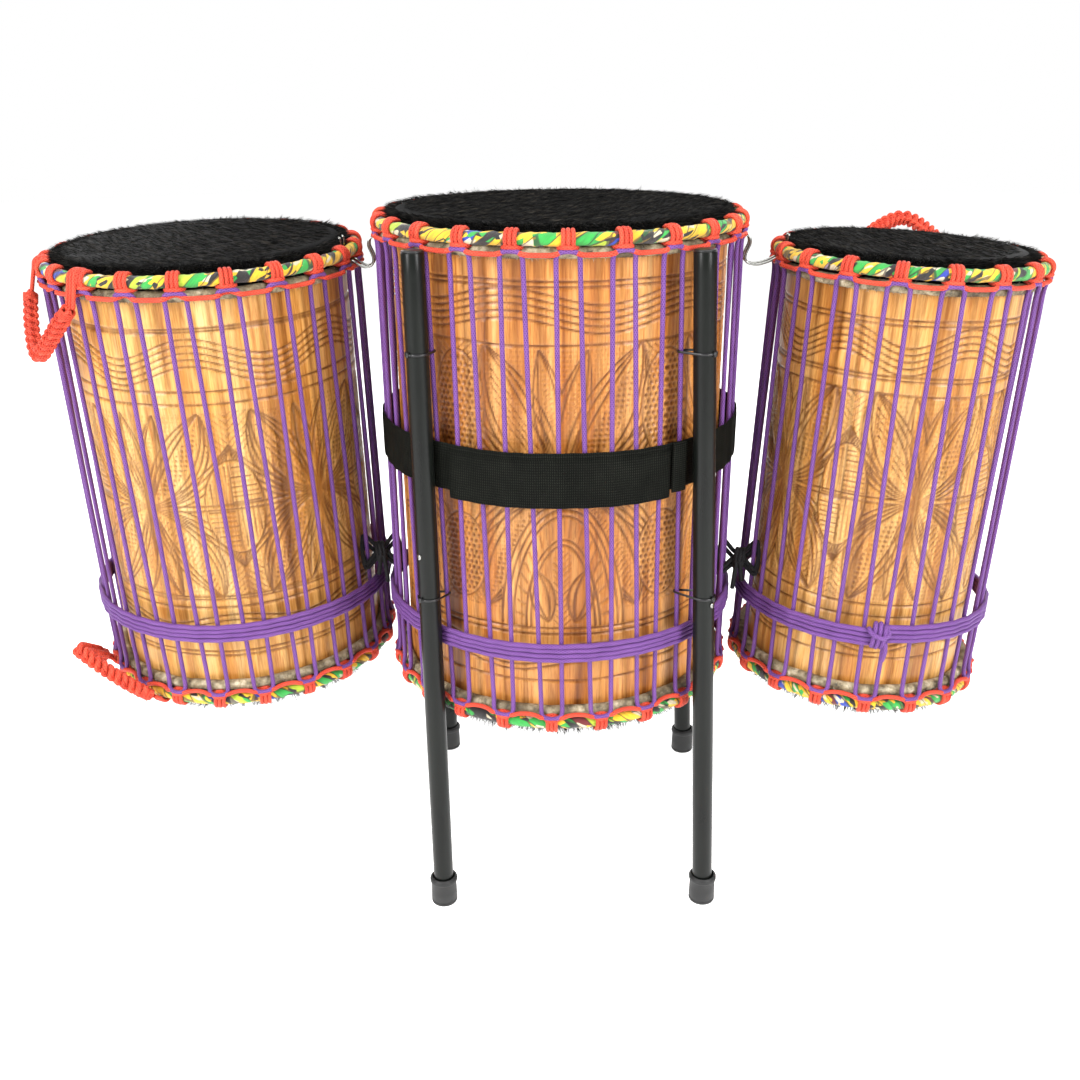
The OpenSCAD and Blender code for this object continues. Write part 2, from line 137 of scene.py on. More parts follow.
def grid_faces(rows, columns, wrap):
    """Quads of a grid of points, closed round its columns where wrap is set."""
    i, j = np.meshgrid(np.arange(rows - 1), np.arange(columns if wrap else columns - 1), indexing="ij")
    k = (j + 1) % columns
    return np.stack([i * columns + j, i * columns + k, (i + 1) * columns + k, (i + 1) * columns + j],
                    -1).reshape(-1, 4)


def closed_grid(rows, columns):
    """Quads of a grid closed both ways."""
    faces = grid_faces(rows + 1, columns, True)
    return np.where(faces >= rows * columns, faces - rows * columns, faces)


def end_caps(rows, columns):
    """The two faces that close a grid wrapped round its columns."""
    return [np.arange(columns)[::-1][None], (np.arange(columns) + (rows - 1) * columns)[None]]


def linked(name, data):
    obj = bpy.data.objects.new(name, data)
    bpy.context.scene.collection.objects.link(obj)
    return obj


class Shape:
    """Gathers tubes and sheets, in millimetres, into one mesh with what its materials read:
    grain, the point in its own frame; strand, the way along a cord and round it; tone and carve."""

    def __init__(self):
        self.points, self.faces, self.strand, self.tone, self.carve, self.index = [], [], [], [], [], []
        self.count = 0

    def add(self, points, faces, strand=None, tone=0.5, carve=0.0, index=0):
        points = np.asarray(points, float).reshape(-1, 3)
        n = len(points)
        self.points.append(points)
        self.faces.extend((np.asarray(f) + self.count) for f in faces)
        self.strand.append(np.zeros((n, 3)) if strand is None else np.asarray(strand, float).reshape(-1, 3))
        self.tone.append(np.broadcast_to(tone, n))
        self.carve.append(np.broadcast_to(carve, n))
        self.index.append(np.full(sum(len(f) for f in faces), index))
        self.count += n

    def tube(self, path, radius, sides=10, up=None, flat=1.0, start=0.0, **kw):
        """A strand swept along a path. flat squeezes it along up, and start is where its weave begins."""
        path = np.asarray(path, float)
        n = len(path)
        _, side, other = frames_along(path, up)
        turn = 2 * math.pi * np.arange(sides) / sides
        radius = np.broadcast_to(radius, n)[:, None, None]
        ring = (np.cos(turn)[None, :, None] * side[:, None] * flat
                + np.sin(turn)[None, :, None] * other[:, None])
        along = start + distances(path)
        strand = stacked(along[:, None] * MM, np.cos(turn), np.sin(turn))
        faces = [grid_faces(n, sides, wrap=True), *end_caps(n, sides)]
        self.add(path[:, None] + radius * ring, faces, strand, **kw)

    def turned(self, base, axis, steps, sides, **kw):
        """A round solid along an axis, from pairs of height over the base and radius."""
        heights, radii = np.array(steps, float).T
        self.tube(base + heights[:, None] * axis, radii, sides, **kw)

    def lathe(self, profile, columns=256, closed=False, **kw):
        """A turned solid or skin from a profile of radius and height pairs, top or outside first."""
        profile = np.asarray(profile, float)
        if closed:
            profile = np.vstack([profile, profile[:1]])
        angle = 360 * np.arange(columns) / columns
        points = polar(profile[:, :1], angle[None], profile[:, 1:])
        self.sheet(points, wrap=True, **kw)

    def sheet(self, points, wrap=False, **kw):
        rows, columns = points.shape[:2]
        self.add(points, [grid_faces(rows, columns, wrap)], **kw)

    def piece(self, name, materials, body, slot, replaces=(), place=None):
        """Makes the object, in place on its body, standing for the CAD nodes that it replaces."""
        local = np.vstack(self.points) * MM
        flat = np.concatenate([f.reshape(-1) for f in self.faces])
        lengths = np.concatenate([np.full(len(f), f.shape[1]) for f in self.faces])
        world = local if place is None else local @ np.array(place.to_3x3()).T + np.array(place.translation)
        mesh = bpy.data.meshes.new(name)
        mesh.vertices.add(len(local))
        mesh.loops.add(len(flat))
        mesh.polygons.add(len(lengths))
        mesh.vertices.foreach_set("co", world.astype(np.float32).ravel())
        mesh.loops.foreach_set("vertex_index", flat.astype(np.int32))
        mesh.polygons.foreach_set("loop_start", (np.cumsum(lengths) - lengths).astype(np.int32))
        mesh.polygons.foreach_set("material_index", np.concatenate(self.index).astype(np.int32))
        mesh.polygons.foreach_set("use_smooth", np.ones(len(lengths), bool))
        mesh.update(calc_edges=True)
        rows = (("grain", "FLOAT_VECTOR", local), ("strand", "FLOAT_VECTOR", np.vstack(self.strand)),
                ("tone", "FLOAT", np.concatenate(self.tone)), ("carve", "FLOAT", np.concatenate(self.carve)))
        for key, kind, values in rows:
            attribute = mesh.attributes.new(key, kind, "POINT")
            attribute.data.foreach_set("vector" if kind == "FLOAT_VECTOR" else "value",
                                       values.astype(np.float32).ravel())
        obj = linked(name, mesh)
        for m in materials if isinstance(materials, (list, tuple)) else [materials]:
            mesh.materials.append(m)
        if body:
            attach(obj, body)
        if replaces:
            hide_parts(*replaces)
        return obj


# ---- materials ----

class Finish:
    """A Principled material whose colour, roughness and bump come from nodes."""

    def __init__(self, name, **plain):
        self.material = bpy.data.materials.new(name)
        self.material.use_nodes = True
        self.tree = self.material.node_tree
        self.shader = self.tree.nodes["Principled BSDF"]
        for socket, value in plain.items():
            self.shader.inputs[socket.replace("_", " ")].default_value = value

    def node(self, kind, *inputs, **settings):
        made = self.tree.nodes.new("ShaderNode" + kind)
        for key, value in settings.items():
            setattr(made, key, value)
        for socket, value in zip(made.inputs, inputs):
            self.feed(socket, value)
        return made

    def feed(self, socket, value):
        if isinstance(value, bpy.types.NodeSocket):
            self.tree.links.new(value, socket)
        elif value is not None:
            socket.default_value = value

    def read(self, name, output="Vector"):
        return self.node("Attribute", attribute_name=name).outputs[output]

    def parts(self, vector):
        return self.node("SeparateXYZ", vector).outputs

    def math(self, operation, *values, clamp=False):
        return self.node("Math", *values, operation=operation, use_clamp=clamp).outputs[0]

    def scaled(self, vector, *by):
        return self.node("VectorMath", vector, by, operation="MULTIPLY").outputs[0]

    def joined(self, x, y, z=0.0):
        return self.node("CombineXYZ", x, y, z).outputs[0]

    def noise(self, vector, scale, detail=3.0, rough=0.55, twist=0.0):
        made = self.node("TexNoise")
        for key, value in (("Vector", vector), ("Scale", scale), ("Detail", detail),
                           ("Roughness", rough), ("Distortion", twist)):
            self.feed(made.inputs[key], value)
        return made.outputs[0]

    def cells(self, vector, scale, jitter=1.0, feature="F1"):
        made = self.node("TexVoronoi", feature=feature)
        for key, value in (("Vector", vector), ("Scale", scale), ("Randomness", jitter)):
            self.feed(made.inputs[key], value)
        return made.outputs

    def ramp(self, value, stops, kind="LINEAR"):
        made = self.node("ValToRGB", value)
        ramp = made.color_ramp
        ramp.interpolation = kind
        while len(ramp.elements) < len(stops):
            ramp.elements.new(0.5)
        for element, (place, colour) in zip(ramp.elements, stops):
            element.position = place
            element.color = (*colour, 1)
        return made.outputs[0]

    def mix(self, share, a, b, kind="MIX"):
        made = self.node("Mix", data_type="RGBA", blend_type=kind)
        for place, value in ((0, share), (6, a), (7, b)):
            if isinstance(value, tuple) and len(value) == 3:
                value = (*value, 1)
            self.feed(made.inputs[place], value)
        return made.outputs[2]

    def span(self, value, low, high, to_low=0.0, to_high=1.0):
        return self.node("MapRange", value, low, high, to_low, to_high).outputs[0]

    def tinted(self, colour, by):
        return self.mix(1.0, colour, by, "MULTIPLY")

    def bump(self, height, depth, strength):
        """Bump of depth millimetres."""
        made = self.node("Bump")
        for key, value in (("Strength", strength), ("Distance", depth * MM), ("Height", height)):
            self.feed(made.inputs[key], value)
        return made.outputs[0]

    def out(self, colour=None, roughness=None, normal=None):
        for socket, value in (("Base Color", colour), ("Roughness", roughness), ("Normal", normal)):
            self.feed(self.shader.inputs[socket], value)
        return self.material


def carved_wood(name, tint):
    f = Finish(name, Coat_Weight=0.22, Coat_Roughness=0.2, Specular_IOR_Level=0.3)
    grain, carve = f.read("grain"), f.read("carve", "Fac")
    wide = f.noise(f.scaled(grain, 1, 1, 0.05), 40, 4, 0.62, 0.5)
    fine = f.noise(f.scaled(grain, 1, 1, 0.05), 340, 4, 0.75)
    patch = f.noise(f.scaled(grain, 1, 1, 0.35), 13, 3, 0.6)
    colour = f.ramp(wide, [(0.30, (0.26, 0.105, 0.024)), (0.41, (0.58, 0.30, 0.085)),
                           (0.51, (0.80, 0.51, 0.20)), (0.64, (0.95, 0.70, 0.36)),
                           (0.78, (0.98, 0.80, 0.50))])
    colour = f.mix(f.span(fine, 0.36, 0.58, 0.1, 1), f.tinted(colour, (0.60, 0.44, 0.27)), colour)
    colour = f.mix(f.span(patch, 0.42, 0.62, 0, 0.6), colour, f.tinted(colour, (0.97, 0.78, 0.50)))
    stain = f.noise(f.scaled(grain, 1, 1, 0.2), 30, 4, 0.7)
    colour = f.mix(f.span(stain, 0.54, 0.74, 0, 0.75), colour, (0.30, 0.13, 0.035))
    # painted shade: the carved grooves are darkened towards dark brown, where shade falls in the cuts, more
    # in some places than others
    groove_shade_unevenness = f.span(f.noise(grain, 50, 3), 0.35, 0.65, 0.70, 1.0)
    colour = f.mix(f.math("MULTIPLY", groove_shade_unevenness, f.span(carve, 0.06, 0.80, 0, 0.92)), colour, (0.17, 0.068, 0.018))
    colour = f.tinted(colour, tint)
    roughness = f.span(fine, 0.3, 0.7, 0.34, 0.52)
    return f.out(colour, roughness, f.bump(fine, 0.5, 0.7))


def black_hide():
    f = Finish("black_hide", Specular_IOR_Level=0.05)
    grain = f.read("grain")
    flow = f.noise(f.scaled(grain, 0.16, 1, 1), 330, 4, 0.7, 0.4)
    patch = f.noise(grain, 24, 3)
    colour = f.ramp(flow, [(0.3, (0.0005, 0.0005, 0.0005)), (0.60, (0.004, 0.004, 0.004)),
                           (0.8, (0.022, 0.021, 0.018))])
    colour = f.mix(f.span(patch, 0.4, 0.7, 0, 0.5), colour, (0.009, 0.009, 0.009))
    return f.out(colour, f.span(flow, 0.3, 0.7, 0.62, 0.82), f.bump(flow, 0.9, 0.8))


def black_hair():
    f = Finish("black_hair", Specular_IOR_Level=0.10)
    tone = f.read("tone", "Fac")
    colour = f.ramp(tone, [(0.0, (0.0005, 0.0005, 0.0005)), (0.6, (0.004, 0.004, 0.004)),
                           (0.85, (0.018, 0.017, 0.015)), (0.98, (0.040, 0.035, 0.028))])
    return f.out(colour, f.span(tone, 0, 1, 0.55, 0.75))


def rawhide():
    f = Finish("rawhide")
    grain = f.read("grain")
    spots = f.noise(grain, 130, 4, 0.7)
    patch = f.noise(grain, 28, 2)
    colour = f.ramp(spots, [(0.30, (0.060, 0.048, 0.030)), (0.47, (0.36, 0.29, 0.17)),
                            (0.70, (0.70, 0.62, 0.45))])
    colour = f.mix(f.span(patch, 0.40, 0.62), f.tinted(colour, (0.34, 0.31, 0.27)), colour)
    return f.out(colour, f.span(spots, 0.3, 0.7, 0.55, 0.8), f.bump(spots, 0.9, 0.9))


def rawhide_hair():
    f = Finish("rawhide_hair")
    tone = f.read("tone", "Fac")
    colour = f.ramp(tone, [(0.0, (0.02, 0.018, 0.015)), (0.45, (0.12, 0.10, 0.07)),
                           (0.8, (0.42, 0.36, 0.26)), (1.0, (0.62, 0.56, 0.44))])
    return f.out(colour, f.span(tone, 0, 1, 0.45, 0.65))


def weave(f, pitch, around):
    """Two sets of strands that cross on a plaited cord, from 0 to 1. pitch is in metres."""
    along, c, s = f.parts(f.read("strand"))
    turn = f.math("ARCTAN2", s, c)
    lead = f.math("MULTIPLY", along, 2 * math.pi / pitch)
    lean = f.math("MULTIPLY", turn, float(around))
    a = f.math("SINE", f.math("ADD", lead, lean))
    b = f.math("SINE", f.math("SUBTRACT", lead, lean))
    return f.span(f.math("MAXIMUM", a, b), -1, 1)


def cord_finish(name, dark, plain, light, pitch, around, depth, **extra):
    f = Finish(name, **{"Sheen_Weight": 0.04, "Specular_IOR_Level": 0.3, **extra})
    plait = weave(f, pitch, around)
    fuzz = f.noise(f.read("strand"), 1400, 2)
    drift = f.noise(f.read("grain"), 60, 2)
    own = f.math("MULTIPLY", f.read("tone", "Fac"), 0.2)
    # painted shade and highlight: the colour follows the plait, darker in the crevices between strands and
    # lighter on their tops, mixed with the cord's own uneven tone
    tone = f.math("ADD", f.math("MULTIPLY", plait, 0.6), f.math("ADD", f.math("MULTIPLY", drift, 0.3), own))
    colour = f.ramp(tone, [(0.15, dark), (0.55, plain), (0.95, light)])
    height = f.math("ADD", plait, f.math("MULTIPLY", fuzz, 0.3))
    return f.out(colour, f.span(plait, 0, 1, 0.72, 0.52), f.bump(height, depth, 0.9))


def coral_cord():
    return cord_finish("coral_cord", (0.12, 0.005, 0.003), (0.51, 0.033, 0.015), (0.76, 0.090, 0.042),
                       0.0034, 5, 0.35)


def purple_rope():
    return cord_finish("purple_rope", (0.020, 0.006, 0.042), (0.108, 0.033, 0.19), (0.20, 0.080, 0.30),
                       0.0042, 6, 0.3)


def black_elastic():
    return cord_finish("black_elastic", (0.002, 0.002, 0.002), (0.006, 0.006, 0.007),
                       (0.015, 0.015, 0.017), 0.003, 6, 0.3, Specular_IOR_Level=0.2)


def printed_cotton():
    """Strips of bright printed cotton, wound round the ring: blocks of plain colours with dark edges."""
    f = Finish("printed_cotton", Sheen_Weight=0.25)
    x, y, _ = f.parts(f.read("grain"))
    _, c, s = f.parts(f.read("strand"))
    way_round = f.math("ARCTAN2", x, y)
    turn = f.math("ARCTAN2", s, c)
    lead = f.math("ADD", f.math("MULTIPLY", way_round, 17.0), f.math("MULTIPLY", turn, 0.55))
    place = f.joined(lead, f.math("MULTIPLY", turn, 0.16), f.read("tone", "Fac"))
    bands = f.cells(place, 0.72, 0.9)
    pick = f.parts(bands["Color"])[0]
    yellow, green, black = (0.90, 0.56, 0.015), (0.025, 0.40, 0.055), (0.012, 0.010, 0.010)
    maroon, white = (0.16, 0.012, 0.014), (0.72, 0.64, 0.44)
    blue, lime = (0.020, 0.055, 0.42), (0.46, 0.62, 0.03)
    colour = f.ramp(pick, [(0.0, yellow), (0.28, green), (0.45, black), (0.53, maroon), (0.62, yellow),
                           (0.78, lime), (0.85, blue), (0.93, green)], "CONSTANT")
    small = f.cells(f.joined(lead, f.math("MULTIPLY", turn, 0.7), f.read("tone", "Fac")), 1.5, 1.0)
    second = f.ramp(f.parts(small["Color"])[1], [(0.0, black), (0.25, white), (0.5, yellow), (0.68, black),
                                                 (0.82, green)], "CONSTANT")
    colour = f.mix(f.span(f.parts(small["Color"])[0], 0.62, 0.63), colour, second)
    edge = f.cells(place, 0.72, 0.9, feature="DISTANCE_TO_EDGE")[0]
    colour = f.mix(f.span(edge, 0.03, 0.05, 0.2, 1), black, colour)
    fold = f.noise(place, 3.0, 3)
    # painted shade: the hollows of the folds are darkened
    colour = f.mix(f.span(fold, 0.35, 0.6, 0.45, 0), colour, f.tinted(colour, (0.35, 0.32, 0.3)))
    warp = f.math("SINE", f.math("MULTIPLY", way_round, 1900.0))
    weft = f.math("SINE", f.math("MULTIPLY", turn, 60.0))
    cloth = f.math("MAXIMUM", warp, weft)
    height = f.math("ADD", f.math("MULTIPLY", cloth, 0.12), fold)
    return f.out(colour, f.span(fold, 0.3, 0.7, 0.62, 0.8), f.bump(height, 1.1, 0.8))


def satin_tube():
    f = Finish("black_tube", Specular_IOR_Level=0.22)
    where = f.node("TexCoord").outputs["Object"]
    peel = f.noise(where, 900, 2)
    wear = f.noise(f.scaled(where, 1, 1, 0.12), 60, 4, 0.7)
    colour = f.ramp(wear, [(0.35, (0.003, 0.0035, 0.003)), (0.75, (0.007, 0.0085, 0.007))])
    return f.out(colour, f.span(wear, 0.3, 0.75, 0.26, 0.36), f.bump(peel, 0.10, 0.35))


def moulded(name, dark, light, low, high, grainy):
    """A moulded or rubbery black with a faint speckle."""
    f = Finish(name)
    where = f.node("TexCoord").outputs["Object"]
    speckle = f.noise(where, grainy, 3)
    cloud = f.noise(where, 55, 3)
    colour = f.mix(f.span(cloud, 0.35, 0.7), dark, light)
    return f.out(colour, f.span(cloud, 0.3, 0.7, low, high), f.bump(speckle, 0.15, 0.5))


def steel(name, colour, low, high):
    f = Finish(name, Metallic=1.0)
    where = f.node("TexCoord").outputs["Object"]
    drawn = f.noise(f.scaled(where, 1, 1, 3), 500, 3)
    cloud = f.noise(where, 40, 3)
    shade = f.mix(f.span(cloud, 0.35, 0.7, 0, 0.6), colour, tuple(0.72 * c for c in colour))
    return f.out(shade, f.span(drawn, 0.3, 0.7, low, high), f.bump(drawn, 0.04, 0.4))


def webbing():
    """Ribbed polypropylene webbing. strand is the way along it and across it."""
    f = Finish("black_webbing", Specular_IOR_Level=0.06)
    along, across, _ = f.parts(f.read("strand"))
    rib = f.math("SINE", f.math("MULTIPLY", along, 2 * math.pi / 0.0021))
    pick = f.math("SINE", f.math("ADD", f.math("MULTIPLY", across, 2 * math.pi / 0.0026),
                                 f.math("MULTIPLY", rib, 1.1)))
    height = f.math("ADD", f.math("MULTIPLY", rib, 0.5), f.math("MULTIPLY", pick, 0.35))
    drift = f.noise(f.read("grain"), 45, 3)
    # painted shade and highlight: the webbing is darker down between its ribs and picks and lighter on their
    # tops, mixed with its own uneven tone
    tone = f.math("ADD", f.span(height, -0.85, 0.85, 0, 0.7), f.math("MULTIPLY", drift, 0.3))
    colour = f.ramp(tone, [(0.1, (0.0005, 0.0005, 0.0005)), (0.55, (0.003, 0.0035, 0.0025)),
                           (0.95, (0.024, 0.026, 0.020))])
    return f.out(colour, f.span(height, -1, 1, 0.78, 0.5), f.bump(height, 0.45, 0.9))


def pale_floor():
    f = Finish("pale_floor", Emission_Color=(1, 1, 1, 1), Emission_Strength=0.77)
    where = f.node("TexCoord").outputs["Object"]
    return f.out(f.mix(f.noise(where, 3.0, 3), (0.90, 0.90, 0.89), (0.94, 0.94, 0.93)), 0.6)


# ---- drums ----

class Drum:
    """A drum's sizes in millimetres, and where the frame holds it."""

    def __init__(self, name, body, radius, height, hitches, first, twist, roll_drop, lean, carving, seed,
                 flow):
        low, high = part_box(name + "_shell")
        self.name, self.body, self.r, self.half = name, body, radius, height / 2
        self.hitches, self.first, self.twist, self.roll_drop = hitches, first, twist, roll_drop
        self.carving, self.seed, self.flow = carving, seed, flow
        self.place = Matrix.Translation((low + high) / 2) @ lean
        self.pitch = 360 / hitches
        self.pair = self.pitch * PAIR_SHARE / 2

    def at(self, angle, out, drop, end=1):
        """Points in the drum's own frame, out from the shell and down from the upper or lower head."""
        return polar(self.r + np.asarray(out, float), angle, end * (self.half - np.asarray(drop, float)))

    def hitch(self, i, end=1):
        return self.first + i * self.pitch + (0 if end > 0 else self.pitch / 2 + self.twist)

    def rim(self, end):
        return self.name + ("_top" if end > 0 else "_bottom")

    def degrees(self, mm, out=RING_OUT):
        """The angle that a length takes up round the drum."""
        return np.degrees(mm / (self.r + out))


def leaning(about_x, about_y):
    return (Matrix.Rotation(math.radians(about_y), 4, "Y") @ Matrix.Rotation(math.radians(about_x), 4, "X"))


# ---- carving: depths from 0 to 1, of cuts at arc length u and drop v, both in millimetres ----

def cut(distance, width):
    """A V-shaped groove, 1 deep along its middle."""
    return np.clip(1 - np.abs(distance) / width, 0, 1) ** 0.8


def lines(v, drops, width=1.7):
    return np.max([cut(v - d, width) for d in drops], axis=0)


def waves(u, v, middle, swing, length, crest, count, gap, width=1.6):
    """Parallel wavy grooves round the drum, with a crest at arc length crest."""
    level = middle - swing * np.cos(2 * math.pi * (u - crest) / length)
    middle_line = (count - 1) / 2
    return np.max([cut(v - level - (k - middle_line) * gap, width) for k in range(count)], axis=0)


def bow(x, y, end_x, end_y, sag, width=1.6):
    """A groove along a circular arc from 0, 0 to end_x, end_y that bulges by sag times its length."""
    length = math.hypot(end_x, end_y)
    along = (x * end_x + y * end_y) / length
    off = (x * end_y - y * end_x) / length
    radius = (length ** 2 / 4 + (sag * length) ** 2) / (2 * abs(sag) * length)
    middle = math.copysign(radius - abs(sag) * length, -sag)
    near = np.hypot(along - length / 2, off - middle) - radius
    inside = (along > 0) & (along < length) & (off * math.copysign(1, sag) > -2)
    return cut(near, width) * inside


def within_bows(x, y, end_x, end_y, sag_a, sag_b):
    """Where a point lies between two arcs that share their ends, as a soft mask."""
    length = math.hypot(end_x, end_y)
    along = (x * end_x + y * end_y) / length / length
    off = (x * end_y - y * end_x) / length / length
    hump = 4 * np.clip(along, 0, 1) * (1 - np.clip(along, 0, 1))
    low, high = min(sag_a, sag_b) * hump + 0.02, max(sag_a, sag_b) * hump - 0.02
    return ((off > low) & (off < high) & (along > 0.08) & (along < 0.94)).astype(float)


def dimples(u, v, gap):
    """Rows of small gouge marks, staggered like bricks."""
    row = np.round(v / gap)
    column = u / gap - 0.5 * (row % 2)
    return np.clip(1.25 - np.hypot((column - np.round(column)) * 2.5, (v / gap - row) * 2.3), 0, 1)


def strokes(a, gap, width=1.2):
    return cut(((a + gap / 2) % gap) - gap / 2, width)


def oval(x, y, wide, tall, width=1.6):
    """A groove along an ellipse, and how far out of it each point lies, 1 on its line."""
    e = np.hypot(x / wide, y / tall) + 1e-6
    return cut((e - 1) * e / (np.hypot(x / wide ** 2, y / tall ** 2) + 1e-6), width), e


def petals(u, v, crossing, period, middle, reach, filling):
    """Petals in parallel cuts that spring from each crossing, with ovals and chevrons between them."""
    x = (u - crossing + period / 2) % period - period / 2
    y = middle - v
    ax, ay, bx = np.abs(x), np.abs(y), period / 2 - np.abs(x)
    families = (((0.36, 1.00), (0.27, 0.222, 0.174, -0.04, -0.088, -0.136)),
                ((0.50, 0.66), (0.21, 0.160, 0.110, 0.062)),
                ((0.11, 0.98), (-0.13, -0.085, 0.055, 0.10)))
    lens = within_bows(ax, ay, period * 0.36, reach, 0.145, -0.02)
    leaf = within_bows(ax, ay, period * 0.11, reach * 0.98, 0.03, -0.065)
    slant = np.where((x > 0) == (y > 0), dimples(x + y * 0.3, y, 5.4), strokes(y * 0.8 - ax, 6.2))
    depth = np.maximum(lens * 0.8 * slant, leaf * 0.55 * strokes(y + ax * 0.9, 6.0))
    chevrons = (ay > reach * 0.60) & (bx < period * 0.13)
    depth = np.maximum(depth, 0.7 * chevrons * strokes(ay - 0.9 * bx, 7.0))
    for (end_x, end_y), sags in families:
        for sag in sags:
            depth = np.maximum(depth, bow(ax, ay, period * end_x, reach * end_y, sag, 1.6))
    if filling == "dimples":
        for centre, tall in ((reach * 0.54, reach * 0.40), (-reach * 0.62, reach * 0.34)):
            ring, e = oval(bx, y - centre, period * 0.135, tall)
            filled = np.maximum(ring, (e < 0.93) * dimples(x, y, 6.0))
            depth = np.where(e < 1, filled, np.maximum(depth, ring))
    else:
        ring, e = oval(bx, y, period * 0.165, reach * 0.50)
        upright = (x > 0) == (y > 0)
        weave_marks = 0.85 * np.where(upright, strokes(x, 5.4), strokes(y, 5.4))
        depth = np.where(e < 1, np.maximum(ring, (e < 0.92) * weave_marks), np.maximum(depth, ring))
    # the cuts thin out towards the crossing, and the ground between them is pounced
    depth = depth * lerp(0.45, 1.0, smoothstep(np.hypot(ax, ay) / 34))
    depth = np.maximum(depth, 0.34 * dimples(x + 3, y + 2, 4.6))
    level = np.maximum(cut(y - 2.8, 1.7), cut(y + 2.8, 1.7)) * (ax > period * 0.13)
    return np.maximum(depth, level) * (ay < reach)


def arches(u, v, crossing, period, foot):
    """Round-headed arches, one inside the next, that stand on a line round the drum, and whether inside."""
    x = (u - crossing + period / 2) % period - period / 2
    y = foot - v
    depth = np.zeros_like(x)
    for wide, tall in ((63, 137), (57, 130), (51, 123), (38, 97), (33, 91)):
        depth = np.maximum(depth, oval(x, y, wide, tall)[0])
    outer, inner = oval(x, y, 49, 120)[1], oval(x, y, 40, 100)[1]
    fan = strokes(np.degrees(np.arctan2(y * 0.42, x)), 7.5, 1.5)
    depth = np.maximum(depth, ((outer < 1) & (inner > 1)) * 0.6 * fan)
    ax = np.abs(x)
    for sag in (0.22, -0.22, 0.10, -0.10):
        depth = np.maximum(depth, bow(ax - 14, y - 6, 12, 56, sag, 1.9))
    ridge = oval(x, y, 27, 84)[1] < 1
    depth = np.maximum(depth, (ridge & (ax < 9)) * 0.7 * strokes(y - ax, 7.0))
    return depth, oval(x, y, 65, 139)[1] < 1


def centre_carving(u, v):
    turn = 2 * math.pi * CENTRE_R
    depth = lines(v, (48.6, 53.4, 107.0, 399.0, 405.5, 459.0))
    depth = np.maximum(depth, waves(u, v, 76, 7.5, turn / 6, -44, 5, 6.6))
    depth = np.maximum(depth, waves(u, v, 432, 6.5, turn / 6, 40, 4, 6.2))
    flowers = petals(u, v, 6, turn / 5, 244, 136, "dimples")
    bows, inside = arches(u, v, 6, turn / 5, 398)
    both = np.where((v > 258) & inside, bows, flowers)
    return np.maximum(depth, both * (v > 109) * (v < 397))


def side_carving(radius, crest, crossing, groove_drops, wave, petal, low_wave):
    """A side drum's bands, from the drops of its grooves and the middles of its bands."""
    def carve(u, v):
        turn = 2 * math.pi * radius
        depth = lines(v, groove_drops)
        depth = np.maximum(depth, waves(u, v, wave, 10, turn / 6, crest, 5, 6.8))
        depth = np.maximum(depth, waves(u, v, low_wave, 6, turn / 6, crest + 8, 4, 6.4))
        middle, reach = petal
        return np.maximum(depth, petals(u, v, crossing, turn / 5, middle, reach, "basket"))
    return carve


def shell(drum):
    """The hollowed trunk, with its outside cut into bands of chip carving."""
    columns = int(2 * math.pi * drum.r / CARVE_GRID)
    rows = int((2 * drum.half - 2 * SKIN - 2 * RIM) / CARVE_GRID)
    angle = 360 * np.arange(columns) / columns - 180
    top = drum.half - SKIN - RIM
    z = np.linspace(top, -top, rows)
    a, level = np.meshgrid(angle, z)
    rng = np.random.default_rng(drum.seed)
    u, v = np.radians(a) * drum.r, drum.half - level
    wobble = np.zeros_like(u)
    for k in range(1, 6):
        wobble += np.sin(np.radians(a) * (3 * k) + v / (17.0 + 9 * k) + rng.uniform(0, 6.3)) / k
    depth = drum.carving(u + 0.9 * wobble, v + 0.55 * wobble)
    hand = 0.10 * np.sin(np.radians(a) * 61 + v / 9 + 2 * wobble) * np.sin(v / 23 + 8 * np.radians(a))
    out = 0.12 * wobble + hand - CARVE_DEPTH * depth - 0.25
    outside = polar(drum.r + out, a, level)
    rim = [(-RIM * (1 - math.cos(t)), RIM * math.sin(t)) for t in np.radians((30, 60, 90))]
    low, high = drum.r - WALL, drum.half - SKIN
    profile = ([(drum.r + d, top + h) for d, h in rim[::-1]], [(drum.r + d, -top - h) for d, h in rim])
    ring = lambda r, h: polar(r, angle, h)[None]
    inner = [(low, -high), (low, -high / 2), (low, 0), (low, high / 2), (low, high)]
    rows_all = np.vstack([ring(*p) for p in profile[0]] + [outside] + [ring(*p) for p in profile[1]]
                         + [ring(*p) for p in inner] + [ring(*profile[0][0])])
    carve = np.concatenate([np.zeros(len(rim) * columns), depth.ravel(),
                            np.zeros((len(rim) + len(inner) + 1) * columns)])
    made = Shape()
    total = len(rows_all) - 1
    faces = closed_grid(total, columns)
    made.add(rows_all[:total], [faces[:, ::-1]], carve=carve[:total * columns])
    made.piece(drum.name + "_carved_shell", WOOD[drum.name], drum.body, "carved_wood",
               [drum.name + "_shell"], drum.place)


# ---- skins ----

def rim_profile(drum):
    """The hide's outer line, as radius and drop pairs, from the middle of the head to the roll."""
    corner, bend = drum.r - RIM, RIM + SKIN
    flat = [(r, 0.0) for r in np.linspace(0.5, corner, 44)]
    turn = [(corner + bend * math.sin(t), bend * (1 - math.cos(t)))
            for t in np.radians(np.arange(12, 91, 13))]
    wall = [(drum.r + SKIN, d) for d in np.linspace(bend + 2, drum.roll_drop - ROLL_R - 1, 4)]
    return flat + turn + wall


def roll_profile(drum):
    """The fold of bare hide round the flesh hoop, from the wall under it to behind the wall again."""
    turns = np.radians(np.arange(118, -160, -16))
    return [(drum.r + ROLL_OUT + ROLL_R * math.cos(t), drum.roll_drop - ROLL_R * math.sin(t)) for t in turns]


